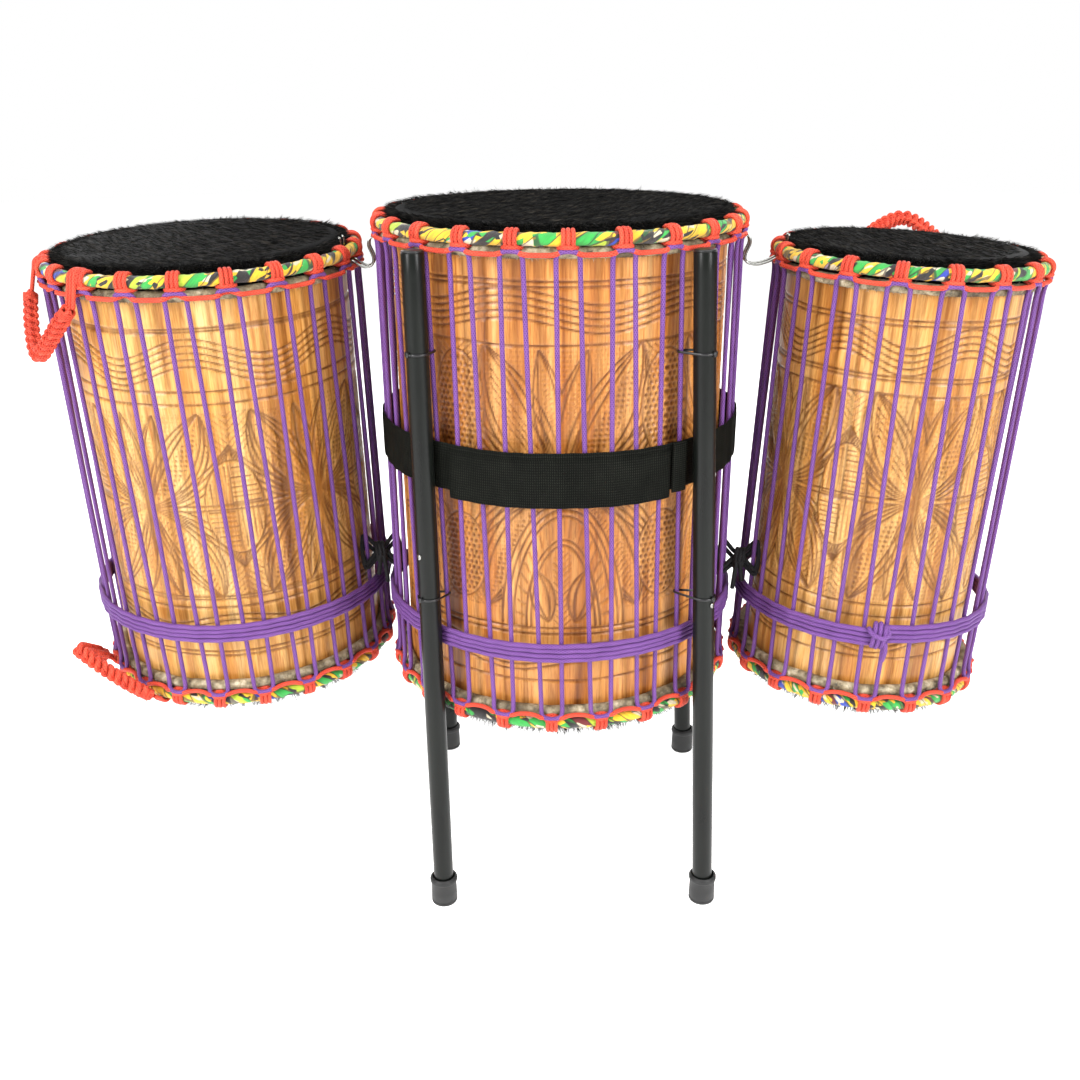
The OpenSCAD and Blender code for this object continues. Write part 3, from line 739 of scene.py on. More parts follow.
def head(drum, end):
    """A hairy cowhide pulled over the rim and rolled round its hoop."""
    rng = np.random.default_rng(drum.seed + 3 + end)
    columns = 320
    angle = 360 * np.arange(columns) / columns
    hair_line, roll = rim_profile(drum), roll_profile(drum)
    inside = [(drum.r + 0.1, drum.roll_drop - 4), (drum.r + 0.1, RIM + SKIN),
              (drum.r - RIM + 0.7 * RIM, SKIN + 0.3 * RIM), (drum.r - RIM, SKIN), (0.5, SKIN)]
    made = Shape()
    profile = np.array(hair_line + roll + inside)
    r = np.meshgrid(profile[:, 0], angle, indexing="ij")[0]
    drop = np.broadcast_to(profile[:, 1:], r.shape).copy()
    a = np.broadcast_to(angle, r.shape)
    near_rim = np.clip((r / drum.r - 0.6) / 0.4, 0, 1)
    phase = rng.uniform(0, 6.3, 6)
    ripple = sum(np.sin(np.radians(a) * k + phase[j] + r / (21 + 7 * j)) / (j + 1.5)
                 for j, k in enumerate((3, 7, 12, 19, 31, 43)))
    count = len(hair_line)
    lift = np.zeros_like(r)
    lift[:count] = 0.28 * ripple[:count] * near_rim[:count] * (drop[:count] < RIM + SKIN)
    lift[:count] += PILE * smoothstep((drum.r + 2 - r[:count]) / (RIM + 8))
    pull = 0.5 * np.cos(np.radians((a - drum.hitch(0, end)) * drum.hitches))
    rows = np.arange(len(profile))[:, None]
    is_roll = (rows >= count) & (rows < count + len(roll))
    r = r + np.where(is_roll, 0.7 * ripple * 0.6 + pull, 0)
    r[:count] += (0.25 * ripple[:count] + 0.6) * (drop[:count] > 4)
    drop = drop + np.where(is_roll, 0.45 * np.roll(ripple, 17, axis=1), 0)
    points = polar(r, a, end * (drum.half - drop + lift))
    faces = grid_faces(len(profile), columns, True)
    faces = faces if end < 0 else faces[:, ::-1]
    material = np.repeat(np.where(is_roll[:-1, 0], 1, 0), columns)
    made.add(points, [faces[material == 0]], index=0)
    made.faces.append(faces[material == 1])
    made.index.append(np.full(int((material == 1).sum()), 1))
    caps = [np.arange(columns)[None], (np.arange(columns) + (len(profile) - 1) * columns)[None]]
    made.faces.extend([caps[0] if end > 0 else caps[0][:, ::-1], caps[1][:, ::-1] if end > 0 else caps[1]])
    made.index.append(np.zeros(2, int))
    rim = drum.rim(end)
    piece = made.piece(rim + "_hide", [HIDE, RAWHIDE], drum.body, "cow_hide",
                       [rim + "_head"], drum.place)


def blades(made, roots, way, length, width, tone, rng, curl=0.35):
    """Tapering hairs, two bends each, from roots along way."""
    n = len(roots)
    across = unit(np.cross(way, rng.normal(size=(n, 3))))
    bend = unit(rng.normal(size=(n, 3))) * curl
    length, width = np.broadcast_to(length, n)[:, None], np.broadcast_to(width, n)[:, None]
    middle = roots + unit(way + bend * 0.5) * length * 0.55
    tip = middle + unit(way + bend) * length * 0.45
    points = np.stack([roots - across * width / 2, roots + across * width / 2,
                       middle - across * width * 0.38, middle + across * width * 0.38, tip], 1)
    base = 5 * np.arange(n)[:, None]
    made.add(points, [base + np.array([[0, 1, 3, 2]]), base + np.array([[2, 3, 4]])],
             tone=np.repeat(tone, 5))


def hair(drum, end):
    """The hide's hair: combed flat over the head, a fringe over the rim and thin on the roll."""
    rng = np.random.default_rng(drum.seed + 11 + end)
    rim = drum.rim(end)
    made = Shape()
    flow = math.radians(drum.flow)
    n = int(HEAD_HAIRS[end] * (drum.r / CENTRE_R) ** 2)
    radius = (drum.r - 1) * np.sqrt(rng.uniform(0, 1, n))
    a = rng.uniform(-180, 180, n)
    pile = PILE * smoothstep((drum.r + 2 - radius) / (RIM + 8))
    roots = polar(radius, a, end * (drum.half + pile - 0.3))
    swirl = flow + 0.35 * np.sin(roots[:, 0] / 60) + rng.normal(0, 0.12, n)
    way = np.stack([np.cos(swirl), np.sin(swirl), end * rng.uniform(0.03, 0.14, n)], -1)
    tuft = np.sin(roots[:, 0] / 5 + 2 * np.sin(roots[:, 1] / 17)) * np.sin(roots[:, 1] / 4 + roots[:, 0] / 23)
    long = rng.uniform(6, 12, n)
    shade = np.clip(0.5 + 0.4 * tuft + rng.normal(0, 0.2, n), 0, 1)
    blades(made, roots, unit(way), long, 0.5, shade, rng, 0.2)
    # the fringe: hair that stands off the rim and hangs out over the ring
    n = int(FRINGE_HAIRS[end] * drum.r / CENTRE_R)
    t = np.radians(rng.uniform(8, 88, n))
    a = rng.uniform(-180, 180, n)
    bend = RIM + SKIN
    roots = drum.at(a, -RIM + bend * np.sin(t) + 0.2, bend * (1 - np.cos(t)) - PILE * (1 - np.sin(t)), end)
    clump = np.sin(np.radians(a) * 37 + 1) + np.sin(np.radians(a) * 61 + 2) + np.sin(np.radians(a) * 97 + 4)
    tangent = polar(1.0, a + 90, 0.0)
    lean = 0.28 * np.sin(np.radians(a) * 11) + 0.16 * clump + rng.normal(0, 0.16, n)
    rise = rng.uniform(-0.12, 0.42, n) if end > 0 else rng.uniform(0.25, 1.1, n)
    way = unit(polar(rng.uniform(0.75, 1.0, n), a, end * rise) + tangent * lean[:, None])
    long = rng.uniform(5.0, 11.0, n) * (1 + 0.12 * clump) * (1.0 if end > 0 else 1.5)
    long = np.clip(long, 4, 13.5 if end > 0 else 20)
    blades(made, roots, way, long, 0.5, rng.uniform(0, 1, n) ** 1.3, rng, 0.3)
    made.piece(rim + "_hair", HAIR, drum.body, "cow_hide", place=drum.place)
    made = Shape()
    n = int(ROLL_HAIRS * drum.r / CENTRE_R)
    a = rng.uniform(-180, 180, n)
    t = np.radians(rng.uniform(-75, 80, n))
    out = ROLL_OUT + ROLL_R * np.cos(t)
    roots = drum.at(a, out, drum.roll_drop - ROLL_R * np.sin(t), end)
    normal = polar(np.cos(t), a, end * np.sin(t))
    way = unit(normal * 0.6 + rng.normal(0, 0.55, (n, 3)) + np.array([0, 0, -0.35]))
    blades(made, roots, way, rng.uniform(1.6, 4.2, n), 0.34, rng.uniform(0, 1, n), rng, 0.5)
    made.piece(rim + "_roll_hair", ROLL_HAIR, drum.body, "cow_hide", place=drum.place)


# ---- rings, hitches and ropes ----

def ring_cloth(drum, end):
    """Cotton strips wound round the crown ring, each turn lapped over the last."""
    radius = drum.r + RING_OUT
    columns, sides = int(2 * math.pi * radius / 2.2), 22
    a = 360 * np.arange(columns) / columns
    t = 2 * math.pi * np.arange(sides) / sides
    rng = np.random.default_rng(drum.seed + 23 + end)
    turns = int(2 * math.pi * radius / 17)
    lap = (a[:, None] / 360 * turns + t[None] / (2 * math.pi)) % 1
    phase = rng.uniform(0, 6.3, 3)
    crease = sum(np.sin(np.radians(a)[:, None] * k + t[None] * m + phase[j])
                 for j, (k, m) in enumerate(((29, 1), (53, 2), (97, 1))))
    made = Shape()
    strand = stacked(np.radians(a)[:, None] * radius * MM, np.cos(t), np.sin(t))
    outer = RING_WRAP - 0.5 + 0.55 * lap ** 2 + 0.16 * crease
    for wall, small in ((1, outer), (-1, RING_WRAP - 2 + 0 * lap)):
        out = polar(radius + small * np.cos(t), a[:, None], end * (drum.half - RING_DROP + small * np.sin(t)))
        faces = closed_grid(columns, sides)
        made.add(out, [faces if wall * end < 0 else faces[:, ::-1]], strand, tone=rng.uniform(0, 9))
    rim = drum.rim(end)
    piece = made.piece(rim + "_cotton_winding", COTTON, drum.body, "printed_cotton",
                       [rim + "_ring_cloth"], drum.place)


def hitch_cords(made, drum, i, end, rng):
    """Three turns of cord over the ring, flared at the bottom into the loop that holds the rope."""
    middle = drum.hitch(i, end)
    lean = rng.normal(0, 0.5)
    t = np.arange(-88, 150, 14.0)
    for k in (-1, 0, 1):
        seat = RING_WRAP + CORD_R * 0.6 + (0.3 if k == 0 else 0) + rng.uniform(0, 0.3)
        flare = 1 + 0.45 * smoothstep((-25 - t) / 55)
        across = k * 4.1 * flare + lean * np.sin(np.radians(t)) + rng.normal(0, 0.15)
        out = RING_OUT + seat * np.cos(np.radians(t))
        drop = RING_DROP - seat * np.sin(np.radians(t))
        path = drum.at(middle + drum.degrees(across), out, drop, end)
        made.tube(smooth_path(path, 1.6), CORD_R * 0.88, 9, start=rng.uniform(0, 50), tone=rng.uniform(0, 1))
    # the two bars under the turns, as points across, outward and down
    bars = (((9.6, 7.0, 18.4), (9.0, 12.2, 18.9), (6.4, 16.6, 18.4), (3.0, 18.4, 17.9), (0, 18.8, 17.7)),
            ((8.0, 7.0, 18.6), (5.6, 10.5, 20.6), (0, 11.4, 21.6)))
    for bar in bars:
        bar = np.array(bar + tuple((-t, out, drop) for t, out, drop in bar[-2::-1]))
        path = drum.at(middle + drum.degrees(0.9 * bar[:, 0]), bar[:, 1], bar[:, 2] - 2.2, end)
        made.tube(smooth_path(path, 1.6), CORD_R * 0.88, 9, start=rng.uniform(0, 50), tone=rng.uniform(0, 1))


def running_cord(drum, end):
    """The cord that runs round under the hitches, out over each rope and up behind each bend."""
    rows = []
    gap = drum.pitch - 2 * drum.pair
    for i in range(drum.hitches):
        a = drum.hitch(i, end)
        over = ((0.0, -1.0, -5.8), (0.42, -0.2, -5.0), (1.0, 4.4, -3.0), (1.5, 2.0, -2.0))
        rows += [(a + share * drum.pair, out, drop) for share, out, drop in over]
        rows += [(a + drum.pair + gap / 2, 0.4, -1.7)]
        rows += [(a + drum.pitch - share * drum.pair, out, drop) for share, out, drop in over[:0:-1]]
    rows.append((rows[0][0] + 360.6, rows[0][1] - 0.6, rows[0][2] + 1))
    angle, out, drop = np.array(rows).T
    # at its sides the S-hooks draw it down, almost to the frame's place
    side = np.abs((angle + 180) % 360 - 180)
    free = 1 - 0.9 * np.exp(-((side - 90) / 8) ** 2) if drum.name == "centre" and end > 0 else 1.0
    seat = lerp(CORD_DROP, TIGHT[drum.name], free) if end > 0 else LOW_TIGHT
    return drum.at(angle, CORD_OUT + out * free, seat + drop * free, end)


def lacing(drum, end):
    rng = np.random.default_rng(drum.seed + 31 + end)
    made = Shape()
    for i in range(drum.hitches):
        hitch_cords(made, drum, i, end, rng)
    made.tube(smooth_path(running_cord(drum, end), 3.0), CORD_R, 10)
    rim = drum.rim(end)
    made.piece(rim + "_hitches", CORAL, drum.body, "coral_cord",
               [rim + "_lacing"], drum.place)


def tuning_rope(drum):
    """One rope that runs up and down between the two rings, over a hitch at each end."""
    bend = ((1.0, 14.3, 60), (1.0, 14.1, 36), (0.99, 15.0, 25.6), (0.86, 16.3, 21.4), (0.46, 17.3, 19.4),
            (0, 17.6, 19.0))
    drift = {1: drum.pitch / 2 + drum.twist - 2 * drum.pair, -1: drum.twist - drum.pitch / 2 + 2 * drum.pair}
    height = 2 * drum.half
    bends = []
    for i in range(drum.hitches):
        for end in (1, -1):
            points = []
            for side in (-1, 1):
                slope = drift[side] if end > 0 else -drift[-side]
                for share, out, drop in bend[::-side] if side > 0 else bend[:-1]:
                    drop -= 0 if end > 0 or drop > 30 else 1.2
                    lean = slope * max(0, drop - 26) / (height - 52)
                    angle = drum.hitch(i, end) + side * share * drum.pair + lean
                    points.append(drum.at(angle, out, drop, end))
            bends.append(smooth_path(np.array(points), 2.2))
    path = [bends[0]]
    for before, after in zip(bends, bends[1:] + bends[:1]):
        path.append(lerp(before[-1], after[0], np.linspace(0, 1, 14)[1:-1, None]))
        path.append(after)
    path[-1] = path[-1][:1]
    made = Shape()
    made.tube(np.vstack(path), ROPE_R * 0.94, 12, up=polar(1.0, drum.first, 0.0))
    made.piece(drum.name + "_rope", PURPLE, drum.body, "purple_rope",
               [drum.name + "_tuning_rope"], drum.place)


def run_at(drum, i, side, z):
    """A run of the tuning rope at height z in the drum's own frame."""
    top = drum.at(drum.hitch(i) + side * drum.pair, ROPE_OUT, ROPE_DROP)
    low = drum.hitch(i if side > 0 else i - 1, -1) - side * drum.pair
    bottom = drum.at(low, ROPE_OUT, ROPE_DROP, -1)
    return lerp(top, bottom, (top[2] - z) / (top[2] - bottom[2]))


def runs_at(drum, z):
    """Every run of the tuning rope at height z in the drum's own frame."""
    return np.array([run_at(drum, i, side, z) for i in range(drum.hitches) for side in (-1, 1)])


def off_runs(drum, angles, z):
    """Degrees from each angle to the nearest run of the rope at height z."""
    runs = runs_at(drum, z)
    runs = np.degrees(np.arctan2(runs[:, 0], -runs[:, 1]))
    return np.abs((angles[:, None] - runs[None] + 180) % 360 - 180).min(1)


def tension_wraps(drum):
    """Turns of the rope's tail round all the runs, one under the next, and the knot that ends them."""
    made = Shape()
    gap = 2 * ROPE_R + 0.1
    begin = -4.0 if drum.name == "right" else drum.first + 150
    a = np.arange(0, 360 * WRAP_TURNS + 1, 2.0)
    middle = -drum.half + WRAP_Z
    z = middle + gap * (WRAP_TURNS / 2 - a / 360)
    near = off_runs(drum, a + begin, middle)
    out = ROPE_OUT + 2 * ROPE_R - 1.1 + 1.0 * np.exp(-(near / 2.4) ** 2)
    out[:4] -= (3, 2, 1, 0.3)
    out[-4:] -= (0.3, 1, 2, 3)
    path = polar(drum.r + out, a + begin, z + 0.25 * np.sin(np.radians(a * 5.3)))
    made.tube(smooth_path(path, 4), ROPE_R, 12)
    knot = begin if drum.name == "right" else begin + 6
    outer, inner, tall = 24.0, 11.5, gap * WRAP_TURNS / 2 + 3.2
    turn = np.radians(np.arange(-60, 800, 30.0))
    across = np.linspace(-6, 5.5, len(turn))
    ring = np.stack([(outer + inner) / 2 + (outer - inner) / 2 * np.cos(turn), tall * np.sin(turn)], -1)
    path = polar(drum.r + ring[:, 0], knot + drum.degrees(across), middle + ring[:, 1])
    ends = np.array([(9.0, outer - 2, 4.0), (2.0, outer + 3.4, 1.0), (-8.0, outer + 1.6, 5.5),
                     (-11.0, outer - 3, 9.5)])
    tail = np.array([(6.5, outer - 1.0, -6.0), (7.0, outer + 0.5, -16.0), (6.0, outer - 1.5, -27.0)])
    make = lambda p: polar(drum.r + p[:, 1], knot + drum.degrees(p[:, 0]), middle + p[:, 2])
    made.tube(smooth_path(np.vstack([path, make(ends)]), 2.2), ROPE_R, 12)
    made.tube(smooth_path(make(tail), 2.2), ROPE_R, 12)
    made.piece(drum.name + "_tension_turns", PURPLE, drum.body, "purple_rope",
               [drum.name + "_tension_wraps"], drum.place)


# ---- stand ----

SHIFT = 0.021  # from the set's middle to the centre drum's axis
STAND = Matrix.Translation((SHIFT, 0, 0))
LEGS = {"front_left": ((-129, -165), (-133, -153.5)), "front_right": ((165, -156), (136, -151)),
        "rear_left": ((-157, 163), (-138, 149)), "rear_right": ((170, 161), (138, 149))}
SCREWS = {"front_left": 425.0, "front_right": 371.0}
TIE_HEIGHTS = (378.0, 630.0)


def leg_at(leg, z):
    low, high = (np.array(p, float) for p in LEGS[leg])
    return np.append(lerp(low, high, z / LEG_TOP), z)


def leg_tube(leg):
    made = Shape()
    z = np.concatenate([[SOLE + 0.8, SOLE + 1.4], np.linspace(30, LEG_TOP - 20, 40),
                        [LEG_TOP - 1.0, LEG_TOP - 0.35, LEG_TOP]])
    path = np.array([leg_at(leg, h) for h in z])
    radius = np.full(len(z), LEG_R)
    radius[[0, -1]] -= 0.8
    radius[-2] -= 0.25
    made.tube(path, radius, 40)
    made.piece("stand_leg_" + leg, TUBE, "root", "black_tube", ["leg_" + leg], STAND)


def rubber_foot(leg):
    """A tapered rubber cup with a moulded lip, fine sole grooves and a rounded top."""
    r = 14.5
    outside = [(r - 2.2, 0), (r - 0.6, 0.4), (r, 1.6), (r, 3.2), (r - 0.5, 3.8), (r - 0.5, 4.6), (r, 5.2),
               (r - 0.25, 16), (r - 0.5, 26.6), (r - 0.2, 27.4), (r + 0.75, 28.2), (r + 0.8, 29),
               (r + 0.8, 31), (r + 0.5, 32), (r - 0.4, 32.6), (r - 0.9, 33.4), (r - 1.6, 34)]
    inside = [(12.4, 34), (12.0, 33.6), (12.0, SOLE), (0.4, SOLE)]
    under = [(0.4, 1.2), (5, 1.2), (5.4, 0), (7.4, 0), (7.8, 1.0), (9.2, 1.0), (9.6, 0)]
    seat = leg_at(leg, (SOLE + FOOT_H) / 2)
    made = Shape()
    made.lathe(outside + inside + under, 64, closed=True)
    made.points[0] = made.points[0] + np.array([seat[0], seat[1], 0])
    made.piece("rubber_foot_" + leg, RUBBER, "root", "black_rubber", ["foot_" + leg], STAND)


def leg_caps():
    made = Shape()
    for leg in LEGS:
        top, axis = leg_at(leg, LEG_TOP), unit(leg_at(leg, LEG_TOP) - leg_at(leg, 0))
        steps = [(-12, 9.0), (-0.4, 9.2), (0, 10.5), (0.9, 10.6), (1.5, 10.1), (1.9, 8.5),
                 (2.1, 5.0), (2.2, 1.0)]
        made.turned(top, axis, steps, 40)
    made.piece("leg_end_caps", PLASTIC, "root", "black_plastic", ["leg_top_plugs"], STAND)


def screws():
    """Pan-headed screws with a cross cut in each."""
    made = Shape()
    for leg, z in SCREWS.items():
        p = leg_at(leg, z)
        out = unit(np.array([p[0], p[1], 0.0]))
        side = np.array([-out[1], out[0], 0])
        steps = [(-3, 1.8), (-0.2, 1.8), (0, 2.9), (0.7, 3.0), (1.3, 2.7), (1.75, 2.0),
                 (1.9, 1.1), (1.5, 0.6)]
        centre = p + out * (LEG_R + 0.05)
        made.turned(centre, out, steps, 28, up=side)
        for way in (side, np.array([0, 0, 1.0])):
            made.tube(np.array([centre + out * 1.93 - way * 1.6, centre + out * 1.93 + way * 1.6]), 0.28, 6,
                      index=1)
    made.piece("leg_screw_heads", [HOOK, PLASTIC], "root", "bright_steel", ["leg_screws"], STAND)


def belt(a, ra, b, rb, z, steps):
    """The line of a belt round two posts at a and b, with radii ra and rb, at height z."""
    way = unit(b - a)
    base = math.atan2(way[1], way[0])
    tilt = math.acos((ra - rb) / np.linalg.norm(b - a))
    far = np.linspace(base - tilt, base + tilt, steps)
    near = np.linspace(base + tilt, base + 2 * math.pi - tilt, steps)
    round_b = [(b[0] + rb * math.cos(t), b[1] + rb * math.sin(t), z) for t in far]
    round_a = [(a[0] + ra * math.cos(t), a[1] + ra * math.sin(t), z) for t in near]
    return np.array(round_b + round_a)


def leg_ties(drum):
    """Thin cable ties that hold each leg to the nearest run of rope, with their locking heads."""
    made = Shape()
    centre_z = drum.place.translation.z / MM
    for leg in LEGS:
        for z in TIE_HEIGHTS:
            q = leg_at(leg, z)
            run = min(runs_at(drum, z - centre_z), key=lambda p: np.linalg.norm(p[:2] - q[:2]))
            path = belt(q[:2], LEG_R + 0.8, run[:2], ROPE_R + 0.9, z, 20)
            path = np.vstack([path, path[:1]])
            made.tube(path, 0.62, 8, up=(0, 0, 1), flat=2.1)
            out = unit(np.append(q[:2], 0))
            head = q + out * (LEG_R + 1.6)
            steps = [(-1.4, 1.6), (-1, 2.2), (1.6, 2.2), (2, 1.7)]
            made.turned(head, out, steps, 8, up=(0, 0, 1), flat=1.25)
            side = np.array([-out[1], out[0], 0])
            tail = np.array([head + side * 1.0, head + side * 4.2 - out * 0.5])
            made.tube(tail, 0.6, 6, up=(0, 0, 1), flat=1.9)
    made.piece("cable_ties", PLASTIC, "root", "black_plastic", ["leg_ties"], STAND)


def band_profile(thick, count, bevel):
    """The outline of a band's section, as places outward and up its width, eased at its edges."""
    h = np.linspace(0, 1, count)
    edge = np.where((h < 0.01) | (h > 0.99), bevel, 0)
    return np.array([(thick - e, x) for x, e in zip(h, edge)] + [(e, x) for x, e in zip(h[::-1], edge)])


def webbing_band(made, drum, inner, angles, low, width, thick):
    """A layer of webbing pulled tight over the runs of rope, along the given angles."""
    centre_z = drum.place.translation.z / MM
    near = off_runs(drum, angles, low + width / 2 - centre_z)
    pull = -0.9 * smoothstep((near - 0.8) / 2.6)
    closed = angles[-1] - angles[0] > 358
    profile = band_profile(thick, 13, 0.3 * thick)
    wave = 0.35 * np.sin(np.radians(angles) * 9 + 1)
    r = inner + pull[:, None] + profile[None, :, 0]
    z = low + width * profile[None, :, 1] + wave[:, None]
    points = polar(r, angles[:, None], z)
    along = np.radians(angles)[:, None] * inner * MM
    strand = stacked(along, width * profile[None, :, 1] * MM, 0.0)
    n, m = points.shape[:2]
    if closed:
        made.add(points, [closed_grid(n, m)], strand)
        return
    made.add(points, [grid_faces(n, m, True), *end_caps(n, m)], strand)


def strap(drum):
    made = Shape()
    inner = drum.r + ROPE_OUT + ROPE_R + 0.9
    low = STRAP_Z - STRAP_W / 2
    webbing_band(made, drum, inner, np.arange(0, 360, 0.6), low, STRAP_W, STRAP_T)
    webbing_band(made, drum, inner + STRAP_T, np.arange(-33, 35.2, 0.6), low - 7, STRAP_W, STRAP_T)
    piece = made.piece("webbing_strap", WEBBING, "root", "black_webbing", ["strap"], STAND)


def keeper(drum):
    """The webbing's folded end, stitched into a flat loop over the strap."""
    made = Shape()
    inner = drum.r + ROPE_OUT + ROPE_R + 0.9 + 2 * STRAP_T
    low, tall = STRAP_Z - STRAP_W / 2 - 2, STRAP_W + 3
    for grow, lift in ((0.0, 0.0), (1.5, 0.6)):
        angles = KEEPER_AT + np.linspace(-KEEPER_HALF, KEEPER_HALF, 13)
        swell = 0.6 * np.cos(np.radians((angles - KEEPER_AT) / KEEPER_HALF * 80))
        profile = band_profile(1.5, 15, 0.5)
        r = inner + grow + swell[:, None] * (profile[None, :, 0] > 0.8) + profile[None, :, 0]
        z = low + lift + (tall - 2 * lift) * profile[None, :, 1]
        points = polar(r, angles[:, None], np.broadcast_to(z, r.shape))
        strand = stacked(z * MM, np.radians(angles)[:, None] * inner * MM, 0.0)
        n, m = points.shape[:2]
        made.add(points, [grid_faces(n, m, True), *end_caps(n, m)], strand)
    made.piece("webbing_keeper", WEBBING, "root", "black_webbing", ["strap_keeper"], STAND)


# ---- S-hooks, elastic and handles ----

def s_hooks(drum, centre, side, places):
    """Wire hooks over the centre drum's running cord that carry the side drum's ring."""
    made = Shape()
    seat_z = (centre.place.translation.z / MM + centre.half) - CORD_DROP
    seat_r = CORD_R + HOOK_R + 0.8
    under = RING_WRAP + HOOK_R + 0.8
    to_stand = STAND.inverted() @ drum.place
    ring = polar(drum.r + RING_OUT, np.arange(0, 360, 0.25), drum.half - RING_DROP)
    ring = ring @ np.array(to_stand.to_3x3()).T + np.array(to_stand.translation) / MM
    inner = ring[ring[:, 0] * side < side * to_stand.translation.x / MM]
    for y in places:
        seat_x = math.sqrt((centre.r + CORD_OUT) ** 2 - y * y)
        near = inner[np.argmin(np.abs(inner[:, 1] - y))]
        x, z = side * near[0], near[2]
        seat = [(seat_x + seat_r * math.cos(t), seat_z + seat_r * math.sin(t))
                for t in np.radians(np.arange(196, 59, -22))]
        low = z - under
        bulge = [(seat_x + 8.6, seat_z + 3.5), (seat_x + 10.5, seat_z - 4),
                 (seat_x + 8.4, lerp(seat_z, low, 0.45)), (seat_x + 5.8, lerp(seat_z, low, 0.8)),
                 (seat_x + 6.6, low - 2.5)]
        far = [(x + under * math.cos(t), z + under * math.sin(t))
               for t in np.radians(np.arange(235, 308, 18))]
        belly = [(lerp(seat_x + 6, far[0][0], 0.35), low - 6.0),
                 (lerp(seat_x + 6, far[0][0], 0.8), low - 2.0)]
        tip = [(x + 6.8, z - 2.5), (x + 6.3, z + 5), (x + 5.4, z + 11.5), (x + 6.6, z + 16)]
        path = np.array([(side * px, y, pz) for px, pz in seat + bulge + belly + far + tip])
        path = smooth_path(path, 1.0)
        for _ in range(8):
            path[1:-1] = (path[:-2] + 2 * path[1:-1] + path[2:]) / 4
        radius = np.full(len(path), HOOK_R * 0.62)
        radius[[0, -1]] = 0.7
        radius[[1, -2]] = 1.2
        made.tube(path, radius, 18, up=(0, 1, 0))
    made.piece(drum.name + "_s_hooks", HOOK, drum.body, "bright_steel", [drum.name + "_hooks"], STAND)


def bungee(drum, centre, side, near, far, turns):
    """A loop of elastic crossed between a rope of the centre drum and one of a side drum, and its knot."""
    to_stand = STAND.inverted() @ drum.place
    turn, move = np.array(to_stand.to_3x3()), np.array(to_stand.translation) / MM
    a = run_at(centre, *near, BUNGEE_Z - centre.place.translation.z / MM)
    b = turn @ run_at(drum, *far, BUNGEE_Z - to_stand.translation.z / MM) + move
    grip = ROPE_R + BUNGEE_R + 0.4
    way = unit(np.append((b - a)[:2], 0))
    across = np.array([-way[1], way[0], 0]) * side
    up = np.array([0, 0, 1.0])
    a, b = np.append(a[:2], BUNGEE_Z), np.append(b[:2], BUNGEE_Z)

    def loop(lift, slip):
        points = []
        for centre_point, sign in ((a, -1), (b, 1)):
            for t in np.radians(np.arange(-80, 81, 40)):
                rise = lift * math.sin(t) * sign
                points.append(centre_point + sign * way * grip * math.cos(t)
                              + across * grip * math.sin(t) * sign + up * (rise + slip))
            points.append((a + b) / 2 + across * 2.7 * sign + up * slip)
        return np.array(points + points[:1])

    made = Shape()
    for k in range(turns):
        slip = (k - (turns - 1) / 2) * 7.5
        made.tube(smooth_path(loop(13 + 2 * (k % 2), slip), 1.6), BUNGEE_R, 12)
    front = -across if across[1] > 0 else across
    waist = (a + b) / 2
    for k, shift in enumerate((-3.2, 0.6, 4.4)):
        t = np.radians(np.arange(0, 361, 20))
        wrap = (waist + front * (np.cos(t) * (7.0 + (k == 1)))[:, None]
                + way * (shift + 1.5 * np.sin(t))[:, None]
                + up * (np.sin(t) * (turns * 3.6 + 3))[:, None])
        made.tube(smooth_path(wrap, 1.6), BUNGEE_R, 12)
    for s, fall in ((-1, 34), (1, 24)):
        ends = waist + np.array([front * 7 + way * 2 * s, front * 9.5 + way * 3 * s - up * 12,
                                 front * 9 + way * 5 * s - up * fall])
        made.tube(smooth_path(ends, 1.3), BUNGEE_R, 12)
    piece = made.piece(drum.name + "_elastic", ELASTIC, None, "black_elastic", [drum.name + "_bungee"], STAND)
    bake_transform(piece)


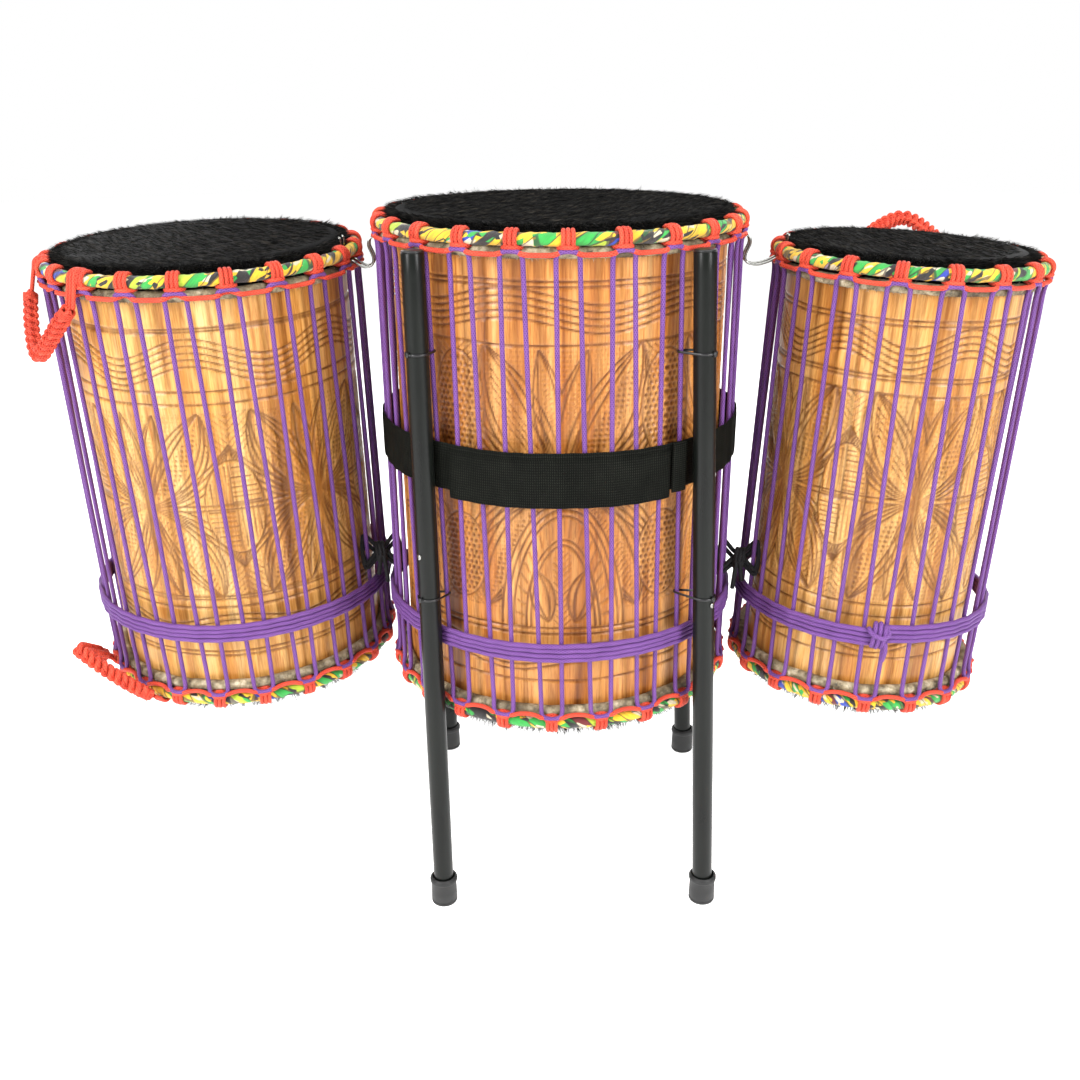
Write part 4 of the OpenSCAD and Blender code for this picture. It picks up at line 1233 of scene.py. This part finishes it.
def handle(name, drum, r, z, a0, a1, out, rise, bulk=1.0):
    """A flat plait of doubled cord between two whipped ends, looped to the ring by three strands at each."""
    made = Shape()
    end = 1 if z > 0 else -1
    drop = drum.half - abs(z)
    for a in (a0, a1):
        for k in (-1, 0, 1):
            hang = [(RING_OUT - 7.5, 5.0), (RING_OUT - 4, 1.0), (RING_OUT + 3, 0.4), (RING_OUT + 8.6, 4.0)]
            hang += [(lerp(RING_OUT + 9.5, r - drum.r - 1, t), lerp(7, drop, t)) for t in (0.15, 0.6, 1.0)]
            out_by, drop_by = np.array(hang).T
            made.tube(smooth_path(drum.at(a + drum.degrees(k * 3.9), out_by, drop_by, end), 1.4), 2.05, 9)
    made.piece(name + "_loops", CORAL, drum.body, "coral_cord", place=drum.place)
    made = Shape()
    rng = np.random.default_rng(drum.seed + len(name))
    t = np.linspace(0, 1, 9)
    s = np.sin(math.pi * t)
    angle = lerp(a0, a1, lerp(t, 0.5, 0.3 * s))
    spine = smooth_path(polar(r + out * s, angle, z + rise * s), 0.9)
    across = unit(polar(-rise, (a0 + a1) / 2, out))
    _, side, other = frames_along(spine, across)
    along = distances(spine)
    taper = 0.62 + 0.38 * smoothstep(np.minimum(along, along[-1] - along) / 16)
    for k in range(3):
        phase = 2 * math.pi * (along / 25.0 + k / 3)
        for j in (-1, 1):
            wide = bulk * taper * (5.6 * np.sin(phase) + j * 1.6 * np.cos(phase))
            deep = bulk ** 1.8 * taper * (2.9 * np.sin(2 * phase) + j * 1.3)
            made.tube(spine + side * deep[:, None] + other * wide[:, None], 2.2 * bulk ** 0.4, 9,
                      tone=rng.uniform(0, 1))
    for start in (2.0, along[-1] - 11.0):
        turn = np.linspace(0, 4 * 2 * math.pi, 90)
        at = start + turn / (2 * math.pi) * 2.4
        middle, sx, sy = (np.stack([np.interp(at, along, v[:, i]) for i in range(3)], -1)
                          for v in (spine, side, other))
        coil = middle + 6.2 * (sx * np.cos(turn)[:, None] + sy * np.sin(turn)[:, None])
        made.tube(coil, 1.25, 8, tone=rng.uniform(0, 1))
    made.piece(name + "_plait", CORAL, name, "coral_cord", [name], drum.place)


# ---- the set ----

HIDE, HAIR = black_hide(), black_hair()
WOOD = {"centre": carved_wood("carved_wood", (0.76, 0.53, 0.34)),
        "left": carved_wood("paler_carved_wood", (0.96, 0.85, 0.66)),
        "right": carved_wood("plain_carved_wood", (0.88, 0.74, 0.55))}
RAWHIDE, ROLL_HAIR, COTTON = rawhide(), rawhide_hair(), printed_cotton()
CORAL, PURPLE, ELASTIC, WEBBING = coral_cord(), purple_rope(), black_elastic(), webbing()
TUBE = satin_tube()
RUBBER = moulded("black_rubber", (0.006, 0.006, 0.006), (0.011, 0.011, 0.011), 0.5, 0.66, 700)
PLASTIC = moulded("black_plastic", (0.005, 0.005, 0.006), (0.010, 0.010, 0.010), 0.32, 0.45, 900)
ROD = steel("plain_rod", (0.42, 0.40, 0.37), 0.35, 0.5)
HOOK = steel("hook_wire", (0.34, 0.34, 0.32), 0.10, 0.20)

LEFT_CARVING = side_carving(LEFT_R, 17, -51, (58, 61, 121, 134, 347, 350.5, 360, 414, 419), 92,
                            (246, 103), 385)
RIGHT_CARVING = side_carving(RIGHT_R, -82, 12, (56, 61, 112, 116, 130, 355, 369, 417), 87,
                             (240, 112), 396)
CENTRE = Drum("centre", "root", CENTRE_R, height=512, hitches=23, first=3.2, twist=3, roll_drop=21.8,
              lean=leaning(0, 0), carving=centre_carving, seed=11, flow=20)
LEFT = Drum("left", "left_drum", LEFT_R, height=476, hitches=21, first=23.6, twist=2, roll_drop=24.5,
            lean=leaning(2.4, -1.0), carving=LEFT_CARVING, seed=23, flow=165)
RIGHT = Drum("right", "right_drum", RIGHT_R, height=476, hitches=17, first=-17.8, twist=2,
             roll_drop=24.5, lean=leaning(0, 2.7), carving=RIGHT_CARVING, seed=37, flow=150)

for node_name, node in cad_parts.items():
    if node_name.endswith(("crown_ring", "flesh_hoop")):
        node.data.materials.clear()
        node.data.materials.append(ROD)

for set_drum in (CENTRE, LEFT, RIGHT):
    shell(set_drum)
    for set_end in (1, -1):
        head(set_drum, set_end)
        hair(set_drum, set_end)
        ring_cloth(set_drum, set_end)
        lacing(set_drum, set_end)
    tuning_rope(set_drum)
    tension_wraps(set_drum)

for set_leg in LEGS:
    leg_tube(set_leg)
    rubber_foot(set_leg)
leg_caps()
screws()
leg_ties(CENTRE)
strap(CENTRE)
keeper(CENTRE)
s_hooks(LEFT, CENTRE, -1, (-14, -2))
s_hooks(RIGHT, CENTRE, 1, (-6, 6))
bungee(RIGHT, CENTRE, 1, (5, -1), (-3, 1), 2)
bungee(LEFT, CENTRE, -1, (-6, 1), (3, -1), 2)
handle("left_top_handle", LEFT, r=176.5, z=203.5, a0=-66, a1=-30, out=12, rise=-50)
handle("left_bottom_handle", LEFT, r=177, z=-224.5, a0=-68, a1=-26, out=30, rise=44, bulk=1.2)
handle("right_top_handle", RIGHT, r=149.5, z=228.5, a0=152, a1=184, out=26, rise=20)


# ---- floor, light and camera ----

def flat_disc(name, radius, z, columns=96, rings=24):
    made = Shape()
    r = np.linspace(1, radius / MM, rings)
    made.lathe([(x, z / MM) for x in r[::-1]], columns)
    local = np.vstack(made.points) * MM
    mesh = bpy.data.meshes.new(name)
    middle = tuple(range((rings - 1) * columns, rings * columns))
    faces = [tuple(f) for f in made.faces[0].tolist()] + [middle]
    mesh.from_pydata(local.tolist(), [], faces)
    obj = linked(name, mesh)
    return obj


def glow(name, strength):
    made = bpy.data.materials.new(name)
    made.use_nodes = True
    tree = made.node_tree
    tree.nodes.clear()
    light, end = tree.nodes.new("ShaderNodeEmission"), tree.nodes.new("ShaderNodeOutputMaterial")
    light.inputs["Color"].default_value = (1, 1, 1, 1)
    light.inputs["Strength"].default_value = strength
    tree.links.new(light.outputs[0], end.inputs["Surface"])
    return made


def backdrop():
    """A pale dome that the camera sees and that lights nothing."""
    columns, rows = 64, 24
    angle = 360 * np.arange(columns) / columns
    rise = np.radians(np.linspace(-4, 90, rows))
    points = np.concatenate([polar(STUDIO_R * math.cos(t), angle, STUDIO_R * math.sin(t)) for t in rise])
    mesh = bpy.data.meshes.new("backdrop")
    mesh.from_pydata(points.tolist(), [], grid_faces(rows, columns, True).tolist())
    obj = linked("backdrop", mesh)
    mesh.materials.append(glow("backdrop_white", 1.0))
    obj.visible_diffuse = obj.visible_glossy = obj.visible_shadow = False


def softbox(name, place, aim, size, power):
    data = bpy.data.lights.new(name, "AREA")
    data.shape, data.size, data.size_y, data.energy = "RECTANGLE", size[0], size[1], power
    obj = linked(name, data)
    obj.location = place
    obj.rotation_mode = "QUATERNION"
    obj.rotation_quaternion = (Vector(aim) - Vector(place)).to_track_quat("-Z", "Y")
    obj.visible_camera = False


def camera():
    """The studio camera, at its place in front of the centre drum and turned by its three angles."""
    pitch, yaw, roll = 0.3819, -0.031, -0.0075
    forward = Vector((math.sin(yaw) * math.cos(pitch), math.cos(yaw) * math.cos(pitch), -math.sin(pitch)))
    right = Vector((math.cos(yaw), -math.sin(yaw), 0))
    up = right.cross(forward)
    across = math.cos(roll) * right + math.sin(roll) * up
    upright = -math.sin(roll) * right + math.cos(roll) * up
    data = bpy.data.cameras.new("studio_camera")
    data.sensor_width, data.lens = 36.0, 38.333
    data.clip_start, data.clip_end = 0.01, 100
    obj = linked("studio_camera", data)
    turn = Matrix((across, upright, -forward)).transposed().to_4x4()
    obj.matrix_world = Matrix.Translation((SHIFT + 0.016, -1.230, 0.8714)) @ turn
    bpy.context.scene.camera = obj


floor = flat_disc("floor", STUDIO_R, 0.0)
floor.data.materials.append(pale_floor())
backdrop()
world = bpy.data.worlds.new("studio")
world.use_nodes = True
world.node_tree.nodes["Background"].inputs["Color"].default_value = (1, 1, 1, 1)
world.node_tree.nodes["Background"].inputs["Strength"].default_value = 0.30
bpy.context.scene.world = world
softbox("overhead_soft", (0.0, -0.7, 2.9), (0.0, 0.1, 0.4), (2.6, 2.0), 66)
softbox("left_front_soft", (-1.9, -1.9, 1.6), (-0.1, 0, 0.45), (0.9, 1.6), 78)
softbox("right_front_soft", (2.0, -1.9, 1.6), (0.1, 0, 0.45), (0.9, 1.6), 72)
softbox("left_back_soft", (-1.5, 2.1, 1.7), (-0.1, 0, 0.45), (1.0, 1.6), 30)
softbox("right_back_soft", (1.5, 2.1, 1.7), (0.1, 0, 0.45), (1.0, 1.6), 30)
camera()
bpy.context.scene.view_settings.view_transform = "Standard"
bpy.context.scene.view_settings.look = "None"
